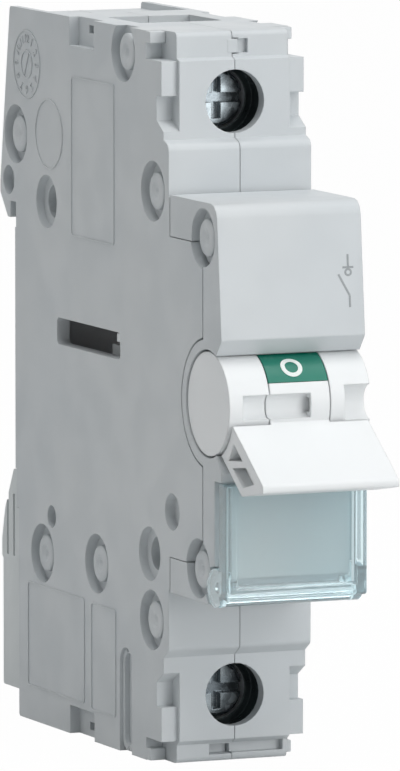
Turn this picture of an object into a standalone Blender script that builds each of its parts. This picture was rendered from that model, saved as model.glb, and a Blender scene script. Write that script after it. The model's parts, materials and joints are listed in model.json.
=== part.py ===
"""One-module DIN rail switch disconnector, built as separate closed solids.

X runs across the module, the front faces -Y, Z is up. The origin is the middle of
the rail seat, on the centre line of the rail. Sizes are in millimetres and MM turns
them into metres where a mesh is made. Angles on the toggle are in degrees, measured
from the front, over the top, to the rear.
"""
import math

import bmesh
import bpy
from mathutils import Matrix, Vector

MM = 0.001

# Module envelope
MODULE_WIDTH = 17.5
RISE_ABOVE_RAIL = 40.5
DROP_BELOW_RAIL = 42.5
TERMINAL_DEPTH = 44.0
SHOULDER_DEPTH = 45.5
NOSE_HEIGHT = 45.0
NOSE_TOP_DEPTH = 59.0
NOSE_DEPTH = 60.4
NOSE_BEVEL_HEIGHT = 1.8

# Walls and clearances
SIDE_WALL = 1.6
FRONT_WALL = 1.5
SEAT_GAP = 0.25
SEAM_GAP = 0.2
SLIDE_GAP = 0.35

# Rail seat, hook and seam lap
RAIL_HEIGHT = 35.0
RAIL_THICKNESS = 1.0
SEAT_PAD_TOP = 14.8
SEAT_RELIEF = 0.3
HOOK_REACH = 4.5
HOOK_TOP_REACH = 1.5
HOOK_LIP_DROP = 1.9
HOOK_SHOULDER_HEIGHT = 19.9
LAP_WIDTH = 2.5
LAP_DEPTH = 1.2

# Front outline of the housing
UPPER_SHOULDER_TOP = 28.0
LOWER_SHOULDER_BOTTOM = 29.2
UPPER_BAND_HEIGHT = 3.2
LOWER_BAND_HEIGHT = 2.6
BAND_SETBACK = 0.8
TOWER_INSET = 1.95
TOWER_STEP_DEPTH = 39.0
TOWER_LUG_SETBACK = 0.6
TOWER_NOTCH_DEPTH = 2.0
TOWER_NOTCH_HEIGHT = 2.75
TOWER_LUG_HEIGHT = 3.95
FIN_DROP = 0.8
FIN_LENGTH = 12.0
FIN_THICKNESS = 0.9

# Rivets: where they stand as (depth in front of the seat, height), and their sizes
RIVET_PLACES = {
    "rear_top": (0.3, 25.7),
    "top": (32.4, 37.6),
    "upper_front": (41.0, 22.5),
    "rear_low": (8.2, -22.5),
    "middle_low": (24.5, -21.8),
    "lower_front": (40.6, -26.3),
}
NOSE_RIVET_PLACES = {
    "nose_top": (55.3, 18.5),
    "nose_low": (54.0, -18.9),
}
RIVET_RECESS_DIAMETER = 6.9
RIVET_RECESS_DEPTH = 1.3
RIVET_HEAD_DIAMETER = 4.2
RIVET_HEAD_HEIGHT = 0.5
RIVET_SHANK_DIAMETER = 2.2
RIVET_DIMPLE_DIAMETER = 1.0
RIVET_DIMPLE_DEPTH = 0.4
NOSE_BOSS_DIAMETER = 3.8
NOSE_LOBE_THICKNESS = 1.2

# Other holes and grooves in the side faces, as (depth, height)
PEG_HOLE_PLACE = (-1.9, 20.2)
PEG_HOLE_DIAMETER = 3.4
STEPPED_HOLE_PLACES = ((9.6, 18.6), (40.0, -18.8))
STEPPED_HOLE_DIAMETER = 6.2
STEPPED_HOLE_STEP = 1.0
STEPPED_HOLE_BORE = 3.8
STEPPED_HOLE_DEPTH = 3.2
BLIND_HOLE_PLACE = (46.5, -13.3)
BLIND_HOLE_DIAMETER = 4.2
BLIND_HOLE_DEPTH = 1.2
SMALL_HOLE_PLACE = (11.0, -17.9)
SMALL_HOLE_DIAMETER = 2.6
SIDE_NOTCH_REAR = 16.5
SIDE_NOTCH_WIDTH = 7.3
SIDE_NOTCH_HEIGHT = 3.3
SIDE_NOTCH_DEPTH = 1.2
SIDE_SLOT_CENTRE = 33.05
SIDE_SLOT_WIDTH = 3.5
SIDE_SLOT_TOP = -30.4
SIDE_SLOT_DEPTH = 0.9
WINDOW_REAR = 12.7
WINDOW_LENGTH = 18.8
WINDOW_BOTTOM = 2.4
WINDOW_HEIGHT = 3.1

# Mechanism chamber inside the housing
CHAMBER_REAR = 11.0
CHAMBER_HALF_HEIGHT = 15.0
GUIDE_GROOVE_DEPTH = 0.8
GUIDE_RIB_HEIGHT = 2.0

# Terminals
UPPER_TERMINAL_HEIGHT = 32.6
LOWER_TERMINAL_HEIGHT = -34.85
SCREW_HOLE_DIAMETER = 7.2
SCREW_HEAD_DIAMETER = 6.6
SCREW_HEAD_THICKNESS = 1.6
SCREW_THREAD_DIAMETER = 4.8
SCREW_SLOT_WIDTH = 1.1
SCREW_SLOT_DEPTH = 1.1
CAGE_WIDTH = 10.5
CAGE_HEIGHT = 5.8
CAGE_WALL = 1.2
CAGE_FRONT_WALL = 1.4
CONDUCTOR_SPACE = 7.7
CLAMP_TRAVEL = 4.8
HEAD_SHELF = 0.75
ENTRY_WIDTH = 8.4
ENTRY_CREST = 1.0
ENTRY_RIM = 0.9

# Copper strips and the contact bridge
STRIP_THICKNESS = 1.5
STRIP_WIDTH = 6.4
STRIP_FRONT_DEPTH = 29.2
STRIP_LEVEL = 18.2
CONTACT_DEPTH = 14.7
CONTACT_HEIGHT = 9.2
CONTACT_TIP_SIZE = 3.2
CONTACT_TIP_THICKNESS = 1.0
BRIDGE_THICKNESS = 1.5
BRIDGE_WIDTH = 5.0

# Toggle
TOGGLE_DEPTH = 56.5
TOGGLE_RADIUS = 5.85
TOGGLE_TRAVEL = 75.0
HANDLE_REST_ANGLE = -34.5
BARREL_WIDTH = 7.2
BARREL_INNER_RADIUS = 3.9
BARREL_UPPER_EDGE = 106.0
BARREL_LOWER_EDGE = -111.0
BARREL_WEB = 1.3
TRUNNION_DIAMETER = 3.2
TRUNNION_LENGTH = 3.0
HANDLE_WIDTH = 16.5
HANDLE_REACH = 16.1
HANDLE_TOP = 1.75
HANDLE_BOTTOM = -3.0
HANDLE_UNDERSIDE_REACH = 12.4
HANDLE_POCKET_DEPTH = 1.5
INDICATOR_FROM = 61.5
INDICATOR_THICKNESS = 0.7
CHEEK_INSET = 0.15
RING_THICKNESS = 1.1
BORE_LIP_HEIGHT = 5.6
TIE_GROOVE_HEIGHT = 2.7
TIE_GROOVE_DEPTH = 1.45
TIE_GROOVE_SPAN = (-6.95, 1.3)
TIE_SCOOP_SPAN = (5.45, 7.65)
TIE_TUNNEL_HEIGHT = 1.6
TIE_TUNNEL_ROOF = 0.45

# Link and contact carrier
CRANK_RADIUS = 5.0
CRANK_REST_ANGLE = 103.0
CRANK_PIN_DIAMETER = 1.6
LINK_LENGTH = 12.0
LINK_THICKNESS = 1.2
LINK_BAR_HEIGHT = 2.0
LINK_EYE_DIAMETER = 3.3
LINK_SLACK = 0.65
CARRIER_PIN_HEIGHT = 2.5
CARRIER_WIDTH = 10.0
CARRIER_HEIGHT = 6.0
CARRIER_WALL = 1.5
COUPLING_LUG_LENGTH = 2.8
COUPLING_LUG_SUNK = 0.5
SPRING_DIAMETER = 4.2
SPRING_WIRE = 0.6
SPRING_LENGTH = 8.0
SPRING_TURNS = 5

# Label holder
FLAP_PIVOT_DEPTH = 58.3
FLAP_PIVOT_HEIGHT = -20.5
FLAP_THICKNESS = 1.1
FLAP_TOP = -8.7
FLAP_FRONT_DEPTH = 60.5
FLAP_EAR_THICKNESS = 1.0
FLAP_PIN_DIAMETER = 1.3
FLAP_SIDE_INSET = 0.15
FLAP_WRAP_END = 250.0
FLAP_OPENING = 90.0
CARD_THICKNESS = 0.4
CARD_WIDTH = 14.6
CARD_HEIGHT = 10.2

# Rail clip
CLIP_WIDTH = 16.0
CLIP_TOP = -13.8
CLIP_BOTTOM = -39.6
CLIP_REACH = 6.0
CLIP_RAMP_FOOT = -22.4
CLIP_TRAVEL = 4.5
CLIP_SETBACK = 1.0
CLIP_GUIDE_TOP = -24.0
CLIP_GUIDE_LENGTH = 6.0
CLIP_NECK_WIDTH = 4.6
CLIP_HEAD_WIDTH = 7.8
CLIP_HEAD_THICKNESS = 1.5
CLIP_NECK_LENGTH = 1.85
CLIP_EYE_WIDTH = 5.0
CLIP_EYE_HEIGHT = 1.8
CLIP_SPRING_DIAMETER = 2.2
CLIP_SPRING_WIRE = 0.45
CLIP_SPRING_TURNS = 6
CLIP_SPRING_SPARE = 3.8

# Fineness of round stretches
ROUND_STEPS = 24
LARGE_ROUND_STEPS = 48
SMALL_ROUND_STEPS = 16
CORNER_STEPS = 3
COIL_STEPS = 8

# Values that follow from the sizes above
HALF_WIDTH = MODULE_WIDTH / 2
NOSE_HALF = NOSE_HEIGHT / 2
TOGGLE_AXIS = (-TOGGLE_DEPTH, 0.0)
BORE_RADIUS = TOGGLE_RADIUS + SEAT_GAP
RING_RADIUS = BORE_RADIUS + RING_THICKNESS
COVER_REAR = SHOULDER_DEPTH + 2 * SEAT_GAP
COVER_SIDE_REAR = 55.3
COVER_UPPER_FLANGE = 18.0
COVER_LOWER_FLANGE = -18.7
LABEL_SEAT_DEPTH = FLAP_FRONT_DEPTH - FLAP_THICKNESS - 2 * SEAT_GAP - CARD_THICKNESS
RIVET_FLOOR = HALF_WIDTH - RIVET_RECESS_DEPTH
CONDUCTOR_FRONT = STRIP_FRONT_DEPTH - STRIP_THICKNESS
CONDUCTOR_REAR = CONDUCTOR_FRONT - CONDUCTOR_SPACE
CAGE_FRONT = STRIP_FRONT_DEPTH + SLIDE_GAP + CAGE_FRONT_WALL
CLAMP_CHAMBER_FRONT = CAGE_FRONT + CLAMP_TRAVEL + SLIDE_GAP
SCREW_SEAT_DEPTH = CLAMP_CHAMBER_FRONT + HEAD_SHELF + SEAT_GAP
SCREW_FACE_DEPTH = SCREW_SEAT_DEPTH + SCREW_HEAD_THICKNESS
CLIP_SPRING_LENGTH = CLIP_TRAVEL + CLIP_SPRING_TURNS * CLIP_SPRING_WIRE + CLIP_SPRING_SPARE
CLIP_GUIDE_BOTTOM = CLIP_GUIDE_TOP - CLIP_GUIDE_LENGTH
CLIP_SLOT_BOTTOM = CLIP_GUIDE_BOTTOM - CLIP_SPRING_LENGTH - 2 * SEAT_GAP
CLIP_HEAD_FRONT = -CLIP_SETBACK + SEAT_GAP - CLIP_NECK_LENGTH - CLIP_HEAD_THICKNESS


def rgba(red, green, blue):
    """Return a linear colour from 0-255 display values."""
    channels = [(value / 255.0) ** 2.2 for value in (red, green, blue)]
    return (channels[0], channels[1], channels[2], 1.0)


def make_material(name, colour, roughness, metallic=0.0, transmission=0.0):
    """Return a Principled material in one plain colour."""
    material = bpy.data.materials.new(name)
    material.use_nodes = True
    material.diffuse_color = colour
    shader = material.node_tree.nodes["Principled BSDF"]
    shader.inputs["Base Color"].default_value = colour
    shader.inputs["Roughness"].default_value = roughness
    shader.inputs["Metallic"].default_value = metallic
    shader.inputs["Transmission Weight"].default_value = transmission
    return material


def mesh_object(name, mesh_data):
    """Wrap a bmesh in a linked object with outward faces."""
    bmesh.ops.recalc_face_normals(mesh_data, faces=mesh_data.faces)
    mesh = bpy.data.meshes.new(name)
    mesh_data.to_mesh(mesh)
    mesh_data.free()
    item = bpy.data.objects.new(name, mesh)
    bpy.context.scene.collection.objects.link(item)
    return item


def prism(outline, axis, low, high, name="tool"):
    """Extrude a closed outline along an axis.

    The outline's pairs are (y, z) for axis X, (x, z) for axis Y and (x, y) for axis Z.
    """
    places = {
        "X": lambda a, b, along: (along, a, b),
        "Y": lambda a, b, along: (a, along, b),
        "Z": lambda a, b, along: (a, b, along),
    }
    place = places[axis]
    solid = bmesh.new()
    base = [solid.verts.new(Vector(place(a, b, low)) * MM) for a, b in outline]
    face = solid.faces.new(base)
    grown = bmesh.ops.extrude_face_region(solid, geom=[face])
    moved = [item for item in grown["geom"] if isinstance(item, bmesh.types.BMVert)]
    step = Vector(place(0.0, 0.0, high - low)) * MM
    bmesh.ops.translate(solid, verts=moved, vec=step)
    return mesh_object(name, solid)


def box(x_span, y_span, z_span):
    """Return a box between the given spans."""
    outline = [
        (y_span[0], z_span[0]),
        (y_span[1], z_span[0]),
        (y_span[1], z_span[1]),
        (y_span[0], z_span[1]),
    ]
    return prism(outline, "X", x_span[0], x_span[1])


def arc(centre, radius, start, end, steps):
    """Return points on an arc, from one angle to the other in degrees."""
    points = []
    for step in range(steps + 1):
        angle = math.radians(start + (end - start) * step / steps)
        points.append((centre[0] + radius * math.cos(angle), centre[1] + radius * math.sin(angle)))
    return points


def circle(centre, radius, steps=ROUND_STEPS):
    """Return a closed round outline."""
    return arc(centre, radius, 0.0, 360.0, steps)[:-1]


def rounded(corners):
    """Return an outline whose (a, b, radius) corners are turned into arcs."""
    points = []
    count = len(corners)
    for index, corner in enumerate(corners):
        here = Vector(corner[:2])
        radius = corner[2] if len(corner) > 2 else 0.0
        if radius <= 0.0:
            points.append(tuple(here))
            continue
        before = (Vector(corners[index - 1][:2]) - here).normalized()
        after = (Vector(corners[(index + 1) % count][:2]) - here).normalized()
        half = before.angle(after) / 2
        centre = here + (before + after).normalized() * (radius / math.sin(half))
        first = here + before * (radius / math.tan(half)) - centre
        last = here + after * (radius / math.tan(half)) - centre
        turn = first.angle_signed(last)
        for step in range(CORNER_STEPS + 1):
            swing = Matrix.Rotation(-turn * step / CORNER_STEPS, 2)
            points.append(tuple(centre + swing @ first))
    return points


def cylinder(axis, centre, diameter, low, high, steps=ROUND_STEPS):
    """Return a round bar along an axis."""
    return prism(circle(centre, diameter / 2, steps), axis, low, high)


def turned(profile, steps, place):
    """Spin (along, radius) points round the local Z axis and put the solid in place."""
    solid = bmesh.new()
    verts = [solid.verts.new(Vector((radius, 0.0, along)) * MM) for along, radius in profile]
    edges = [solid.edges.new(pair) for pair in zip(verts, verts[1:])]
    bmesh.ops.spin(
        solid, geom=verts + edges, cent=(0, 0, 0), axis=(0, 0, 1), angle=math.tau, steps=steps
    )
    bmesh.ops.remove_doubles(solid, verts=solid.verts, dist=0.00001 * MM)
    bmesh.ops.transform(solid, matrix=place, verts=solid.verts)
    return mesh_object("turned", solid)


def coil(axis, centre, diameter, wire, turns, low, high):
    """Return a coil spring whose ends are capped, along an axis."""
    curve = bpy.data.curves.new("coil", "CURVE")
    curve.dimensions = "3D"
    curve.bevel_depth = wire / 2 * MM
    curve.bevel_resolution = 1
    curve.use_fill_caps = True
    steps = COIL_STEPS * turns
    spline = curve.splines.new("POLY")
    spline.points.add(steps)
    radius = (diameter - wire) / 2
    for index in range(steps + 1):
        share = index / steps
        angle = share * turns * math.tau
        around = (centre[0] + radius * math.cos(angle), centre[1] + radius * math.sin(angle))
        along = low + wire / 2 + (high - low - wire) * share
        point = (around[0], along, around[1]) if axis == "Y" else (around[0], around[1], along)
        spline.points[index].co = (*(Vector(point) * MM), 1.0)
    guide = bpy.data.objects.new("coil_guide", curve)
    bpy.context.scene.collection.objects.link(guide)
    mesh = baked_mesh(guide)
    item = bpy.data.objects.new("coil", mesh)
    bpy.context.scene.collection.objects.link(item)
    bpy.data.objects.remove(guide)
    return item


def baked_mesh(item):
    """Return the mesh of an object with its modifiers applied."""
    bpy.context.view_layer.update()
    graph = bpy.context.evaluated_depsgraph_get()
    return bpy.data.meshes.new_from_object(item.evaluated_get(graph))


def combine(target, tool, operation, keep=False):
    """Apply one Boolean to the target and remove the tool."""
    modifier = target.modifiers.new(operation, "BOOLEAN")
    modifier.operation = operation
    modifier.solver = "EXACT"
    modifier.object = tool
    mesh = baked_mesh(target)
    target.modifiers.clear()
    target.data = mesh
    if not keep:
        bpy.data.objects.remove(tool)
    return target


def cut(target, *tools):
    """Take the tools out of the target."""
    for tool in tools:
        combine(target, tool, "DIFFERENCE")
    return target


def add(target, *tools):
    """Fuse the tools with the target."""
    for tool in tools:
        combine(target, tool, "UNION")
    return target


def copy_of(item):
    """Return a linked copy of an object with its own mesh."""
    twin = item.copy()
    twin.data = item.data.copy()
    bpy.context.scene.collection.objects.link(twin)
    return twin


def mirrored_x(item):
    """Return a copy of an object mirrored across the middle plane."""
    twin = copy_of(item)
    twin.data.transform(Matrix.Scale(-1.0, 4, (1, 0, 0)))
    twin.data.flip_normals()
    return twin


def both_sides(make, low, high):
    """Return a tool and its mirror image, made between two distances from the middle."""
    right = make(low, high)
    return right, mirrored_x(right)


def joint_empty(name, place, parent=None):
    """Return an empty that marks a joint's axis or slide."""
    empty = bpy.data.objects.new(name, None)
    empty.location = Vector(place) * MM
    bpy.context.scene.collection.objects.link(empty)
    if parent:
        empty.location -= parent.matrix_world.translation
        empty.parent = parent
    bpy.context.view_layer.update()
    return empty


def finish(item, name, material, joint=None, smooth=True):
    """Name a piece, give it its material and hang it on its joint."""
    item.name = name
    item.data.name = name
    item.data.materials.clear()
    item.data.materials.append(material)
    if smooth:
        item.data.shade_smooth()
        item.data.set_sharp_from_angle(angle=math.radians(32))
    if joint:
        place = joint.matrix_world.translation
        item.data.transform(Matrix.Translation(-place))
        item.parent = joint
    return item


def housing_outline():
    """Return the side view of the two housing halves, as (y, z) corners."""
    groove_roof = RAIL_HEIGHT / 2 + SEAT_GAP
    groove_back = RAIL_THICKNESS + 0.4
    lip_bottom = groove_roof - HOOK_LIP_DROP
    pad_top = SEAT_PAD_TOP
    pad_bottom = CLIP_TOP + SLIDE_GAP
    seat_end = -RAIL_HEIGHT / 2 - 2 * SEAT_GAP
    side_front = -(COVER_SIDE_REAR - SEAT_GAP)
    flange_front = -(COVER_REAR - SEAT_GAP)
    band_y = -(TERMINAL_DEPTH - BAND_SETBACK)
    return rounded([
        (HOOK_TOP_REACH, RISE_ABOVE_RAIL, 0.4),
        (HOOK_REACH, HOOK_SHOULDER_HEIGHT, 0.8),
        (HOOK_REACH, HOOK_SHOULDER_HEIGHT - 1.3, 0.5),
        (groove_back + 0.8, lip_bottom, 0.3),
        (groove_back, lip_bottom),
        (groove_back, groove_roof),
        (-SEAT_RELIEF, groove_roof),
        (-SEAT_RELIEF, pad_top),
        (0.0, pad_top),
        (0.0, pad_bottom),
        (-SEAT_RELIEF, pad_bottom),
        (-SEAT_RELIEF, seat_end),
        (-CLIP_SETBACK, seat_end),
        (-CLIP_SETBACK, -DROP_BELOW_RAIL, 0.4),
        (band_y, -DROP_BELOW_RAIL, 0.6),
        (band_y, -DROP_BELOW_RAIL + LOWER_BAND_HEIGHT - 0.5),
        (-TERMINAL_DEPTH, -DROP_BELOW_RAIL + LOWER_BAND_HEIGHT),
        (-TERMINAL_DEPTH, -LOWER_SHOULDER_BOTTOM - 1.0),
        (-SHOULDER_DEPTH, -LOWER_SHOULDER_BOTTOM, 0.6),
        (-SHOULDER_DEPTH, -NOSE_HALF + SEAT_GAP),
        (flange_front, -NOSE_HALF + SEAT_GAP),
        (flange_front, COVER_LOWER_FLANGE + SEAT_GAP),
        (side_front, COVER_LOWER_FLANGE + SEAT_GAP),
        (side_front, COVER_UPPER_FLANGE - SEAT_GAP),
        (flange_front, COVER_UPPER_FLANGE - SEAT_GAP),
        (flange_front, NOSE_HALF - SEAT_GAP),
        (-SHOULDER_DEPTH, NOSE_HALF - SEAT_GAP),
        (-SHOULDER_DEPTH, UPPER_SHOULDER_TOP, 1.0),
        (-TERMINAL_DEPTH, UPPER_SHOULDER_TOP + 0.5),
        (-TERMINAL_DEPTH, RISE_ABOVE_RAIL - UPPER_BAND_HEIGHT),
        (band_y, RISE_ABOVE_RAIL - UPPER_BAND_HEIGHT + 0.3),
        (band_y, RISE_ABOVE_RAIL, 0.6),
    ])


def cut_tower_corners(housing):
    """Cut the stepped corners of the two terminal towers."""
    inner = HALF_WIDTH - TOWER_INSET
    outer = HALF_WIDTH + 1.0
    front = -TERMINAL_DEPTH - 1.0
    for end, way, band in (
        (RISE_ABOVE_RAIL, -1, UPPER_BAND_HEIGHT),
        (-DROP_BELOW_RAIL, 1, LOWER_BAND_HEIGHT),
    ):
        level = end
        for depth, height in (
            (-TOWER_STEP_DEPTH, band),
            (-(TERMINAL_DEPTH - TOWER_LUG_SETBACK), TOWER_LUG_HEIGHT),
            (-(TERMINAL_DEPTH - TOWER_NOTCH_DEPTH), TOWER_NOTCH_HEIGHT),
        ):
            next_level = level + way * height
            low, high = sorted((level if level != end else end - way, next_level))
            tools = both_sides(
                lambda a, b, d=depth, s=(low, high): box((a, b), (front, d), s), inner, outer
            )
            cut(housing, *tools)
            level = next_level


def cut_side_details(housing):
    """Cut the rivet recesses, holes, notches, slots and windows of the side faces."""
    outer = HALF_WIDTH + 1.0

    def pocket(place, diameter, depth):
        centre = (-place[0], place[1])
        return both_sides(
            lambda a, b: cylinder("X", centre, diameter, a, b), HALF_WIDTH - depth, outer
        )

    for place in RIVET_PLACES.values():
        cut(housing, *pocket(place, RIVET_RECESS_DIAMETER, RIVET_RECESS_DEPTH))
        centre = (-place[0], place[1])
        bore = RIVET_SHANK_DIAMETER + 2 * SEAT_GAP
        cut(housing, cylinder("X", centre, bore, -outer, outer, 16))
    cut(housing, *pocket(PEG_HOLE_PLACE, PEG_HOLE_DIAMETER, BLIND_HOLE_DEPTH))
    cut(housing, *pocket(BLIND_HOLE_PLACE, BLIND_HOLE_DIAMETER, BLIND_HOLE_DEPTH))
    cut(housing, *pocket(SMALL_HOLE_PLACE, SMALL_HOLE_DIAMETER, BLIND_HOLE_DEPTH))
    for place in STEPPED_HOLE_PLACES:
        cut(housing, *pocket(place, STEPPED_HOLE_DIAMETER, STEPPED_HOLE_STEP))
        cut(housing, *pocket(place, STEPPED_HOLE_BORE, STEPPED_HOLE_DEPTH))

    notch_y = (-SIDE_NOTCH_REAR - SIDE_NOTCH_WIDTH, -SIDE_NOTCH_REAR)
    floor = HALF_WIDTH - SIDE_NOTCH_DEPTH
    top = (RISE_ABOVE_RAIL - SIDE_NOTCH_HEIGHT, RISE_ABOVE_RAIL + 1.0)
    bottom = (-DROP_BELOW_RAIL - 1.0, -DROP_BELOW_RAIL + SIDE_NOTCH_HEIGHT)
    for span in (top, bottom):
        cut(housing, *both_sides(lambda a, b, s=span: box((a, b), notch_y, s), floor, outer))

    slot_half = SIDE_SLOT_WIDTH / 2
    slot = arc((-SIDE_SLOT_CENTRE, SIDE_SLOT_TOP - slot_half), slot_half, 0.0, 180.0, 12)
    slot.append((-SIDE_SLOT_CENTRE - slot_half, -DROP_BELOW_RAIL - 1.0))
    slot.append((-SIDE_SLOT_CENTRE + slot_half, -DROP_BELOW_RAIL - 1.0))
    tools = both_sides(lambda a, b: prism(slot, "X", a, b), HALF_WIDTH - SIDE_SLOT_DEPTH, outer)
    cut(housing, *tools)

    front = -WINDOW_REAR - WINDOW_LENGTH
    window = rounded([
        (front, WINDOW_BOTTOM, 0.6),
        (-WINDOW_REAR, WINDOW_BOTTOM, 0.6),
        (-WINDOW_REAR, WINDOW_BOTTOM + WINDOW_HEIGHT, 0.6),
        (front, WINDOW_BOTTOM + WINDOW_HEIGHT, 0.6),
    ])
    inner = HALF_WIDTH - SIDE_WALL - 0.5
    cut(housing, *both_sides(lambda a, b: prism(window, "X", a, b), inner, outer))


def cut_chamber(housing):
    """Hollow the mechanism chamber, its guide grooves and the toggle's round seat."""
    inner = HALF_WIDTH - SIDE_WALL
    chamber_front = -(COVER_SIDE_REAR - SEAT_GAP - FRONT_WALL)
    height = (-CHAMBER_HALF_HEIGHT, CHAMBER_HALF_HEIGHT)
    cut(housing, box((-inner, inner), (chamber_front, -CHAMBER_REAR), height))
    rib_half = GUIDE_RIB_HEIGHT / 2 + SEAT_GAP
    groove_y = (-CHAMBER_REAR - 33.0, -CHAMBER_REAR - 2.0)
    cut(housing, *both_sides(
        lambda a, b: box((a, b), groove_y, (-rib_half, rib_half)),
        inner - 0.5,
        inner + GUIDE_GROOVE_DEPTH,
    ))
    outer = HALF_WIDTH + 1.0
    seat = 2 * (RING_RADIUS + SEAT_GAP)
    cut(housing, cylinder("X", TOGGLE_AXIS, seat, -outer, outer, LARGE_ROUND_STEPS))


def fit_nose_tongues(housing):
    """Add the tongues and rivet bosses that the front cover slips over."""
    inner = HALF_WIDTH - SIDE_WALL - SEAT_GAP
    floor = NOSE_HALF - FRONT_WALL - SEAT_GAP
    rear = -SHOULDER_DEPTH + 1.0
    front = -COVER_SIDE_REAR + 1.5
    upper = (COVER_UPPER_FLANGE - 1.0, floor)
    lower = (-floor, COVER_LOWER_FLANGE + 1.0)
    add(housing, box((-inner, inner), (front, rear), upper))
    add(housing, box((-inner, inner), (front, rear), lower))
    outer = HALF_WIDTH + 1.0
    lobe_inner = RIVET_FLOOR - NOSE_LOBE_THICKNESS
    for place in NOSE_RIVET_PLACES.values():
        centre = (-place[0], place[1])
        clear = RIVET_RECESS_DIAMETER + 0.1
        half = lobe_inner - SEAT_GAP
        cut(housing, *both_sides(
            lambda a, b, c=centre, d=clear: cylinder("X", c, d, a, b), half, outer
        ))
        add(housing, cylinder("X", centre, NOSE_BOSS_DIAMETER, -half, half))
        bore = RIVET_SHANK_DIAMETER + 2 * SEAT_GAP
        cut(housing, cylinder("X", centre, bore, -outer, outer, 16))


def cut_terminal(housing, height, end):
    """Cut one terminal: screw hole, clamp chamber, strip channel and cable entry."""
    way = 1 if end > 0 else -1
    hole = (0.0, height)
    seat = -SCREW_SEAT_DEPTH + SEAT_GAP
    cut(housing, cylinder("Y", hole, SCREW_HOLE_DIAMETER, -TERMINAL_DEPTH - 1.0, seat, 32))
    neck = SCREW_THREAD_DIAMETER + 2 * SEAT_GAP
    cut(housing, cylinder("Y", hole, neck, seat - 0.5, -CLAMP_CHAMBER_FRONT + 0.5))

    half = CAGE_WIDTH / 2 + SLIDE_GAP
    tall = CAGE_HEIGHT / 2 + SLIDE_GAP
    rear = -CONDUCTOR_REAR + CAGE_WALL + SLIDE_GAP
    chamber_y = (-CLAMP_CHAMBER_FRONT, rear)
    cut(housing, box((-half, half), chamber_y, (height - tall, height + tall)))

    entry_x = (-ENTRY_WIDTH / 2, ENTRY_WIDTH / 2)
    entry_y = (-CONDUCTOR_FRONT, -CONDUCTOR_REAR)
    entry_z = sorted((height, end + way * 1.0))
    cut(housing, box(entry_x, entry_y, entry_z))
    rim_x = (-ENTRY_WIDTH / 2 - ENTRY_RIM, ENTRY_WIDTH / 2 + ENTRY_RIM)
    rim_y = (-CONDUCTOR_FRONT - ENTRY_RIM, -CONDUCTOR_REAR + ENTRY_RIM)
    rim_z = sorted((end - way * ENTRY_CREST, end + way * 1.0))
    cut(housing, box(rim_x, rim_y, rim_z))

    channel = STRIP_WIDTH / 2 + SLIDE_GAP
    strip_y = (-STRIP_FRONT_DEPTH - SLIDE_GAP, -CONDUCTOR_FRONT + SLIDE_GAP)
    level = way * STRIP_LEVEL
    thick = STRIP_THICKNESS / 2 + SLIDE_GAP
    cut(housing, box((-channel, channel), strip_y, sorted((level, height))))
    back = -CONTACT_DEPTH + thick
    run_y = (strip_y[0], back)
    cut(housing, box((-channel, channel), run_y, (level - thick, level + thick)))
    drop = sorted((way * (CHAMBER_HALF_HEIGHT - 1.0), level + way * thick))
    cut(housing, box((-channel, channel), (-CONTACT_DEPTH - thick, back), drop))


def cut_clip_guide(housing):
    """Cut the slot in which the rail clip's guide runs."""
    low = CLIP_SLOT_BOTTOM
    high = CLIP_GUIDE_TOP + SEAT_GAP
    neck = CLIP_NECK_WIDTH / 2 + SEAT_GAP
    head = CLIP_HEAD_WIDTH / 2 + SEAT_GAP
    neck_end = -CLIP_SETBACK + SEAT_GAP - CLIP_NECK_LENGTH
    cut(housing, box((-neck, neck), (neck_end - 0.5, 0.5), (low, high)))
    head_y = (CLIP_HEAD_FRONT - SEAT_GAP, neck_end + SEAT_GAP)
    cut(housing, box((-head, head), head_y, (low, high)))


def cut_top_and_bottom(housing):
    """Cut the sunk rear of the top between its two side fins, and the front pockets."""
    fin = HALF_WIDTH - FIN_THICKNESS
    low = RISE_ABOVE_RAIL - FIN_DROP
    cut(housing, box((-fin, fin), (-FIN_LENGTH, HOOK_REACH), (low, RISE_ABOVE_RAIL + 1.0)))
    band_front = -(TERMINAL_DEPTH - BAND_SETBACK)
    pocket_y = (band_front - 1.0, band_front + 0.6)
    cut(housing, box((0.7, 1.9), pocket_y, (RISE_ABOVE_RAIL - 2.5, RISE_ABOVE_RAIL - 0.9)))
    cut(housing, box((-2.8, -1.6), pocket_y, (-DROP_BELOW_RAIL + 0.8, -DROP_BELOW_RAIL + 2.0)))


def split_housing(housing, plastic):
    """Part the housing along the middle plane, with a lap behind the rail seat."""
    far = 100.0
    half_gap = SEAM_GAP / 2
    lap_z = RAIL_HEIGHT / 2 - 1.0
    lap_front = -LAP_DEPTH

    left = copy_of(housing)
    cut(left, box((-half_gap, far), (-far, far), (-far, far)))
    lap_rear = RAIL_THICKNESS
    cut(left, box(
        (-LAP_WIDTH - SEAM_GAP, 1.0),
        (lap_front - SEAM_GAP, lap_rear),
        (-lap_z - SEAM_GAP, lap_z + SEAM_GAP),
    ))
    tool = box((-far, half_gap), (-far, far), (-far, far))
    cut(tool, box((-LAP_WIDTH, 1.0), (lap_front, lap_rear), (-lap_z, lap_z)))
    right = cut(housing, tool)
    finish(left, "housing_left", plastic)
    finish(right, "housing_right", plastic)


def build_housing(plastic):
    """Build both housing halves."""
    housing = prism(housing_outline(), "X", -HALF_WIDTH, HALF_WIDTH)
    cut_chamber(housing)
    fit_nose_tongues(housing)
    cut_tower_corners(housing)
    cut_side_details(housing)
    cut_terminal(housing, UPPER_TERMINAL_HEIGHT, RISE_ABOVE_RAIL)
    cut_terminal(housing, LOWER_TERMINAL_HEIGHT, -DROP_BELOW_RAIL)
    cut_clip_guide(housing)
    cut_top_and_bottom(housing)
    split_housing(housing, plastic)


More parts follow.
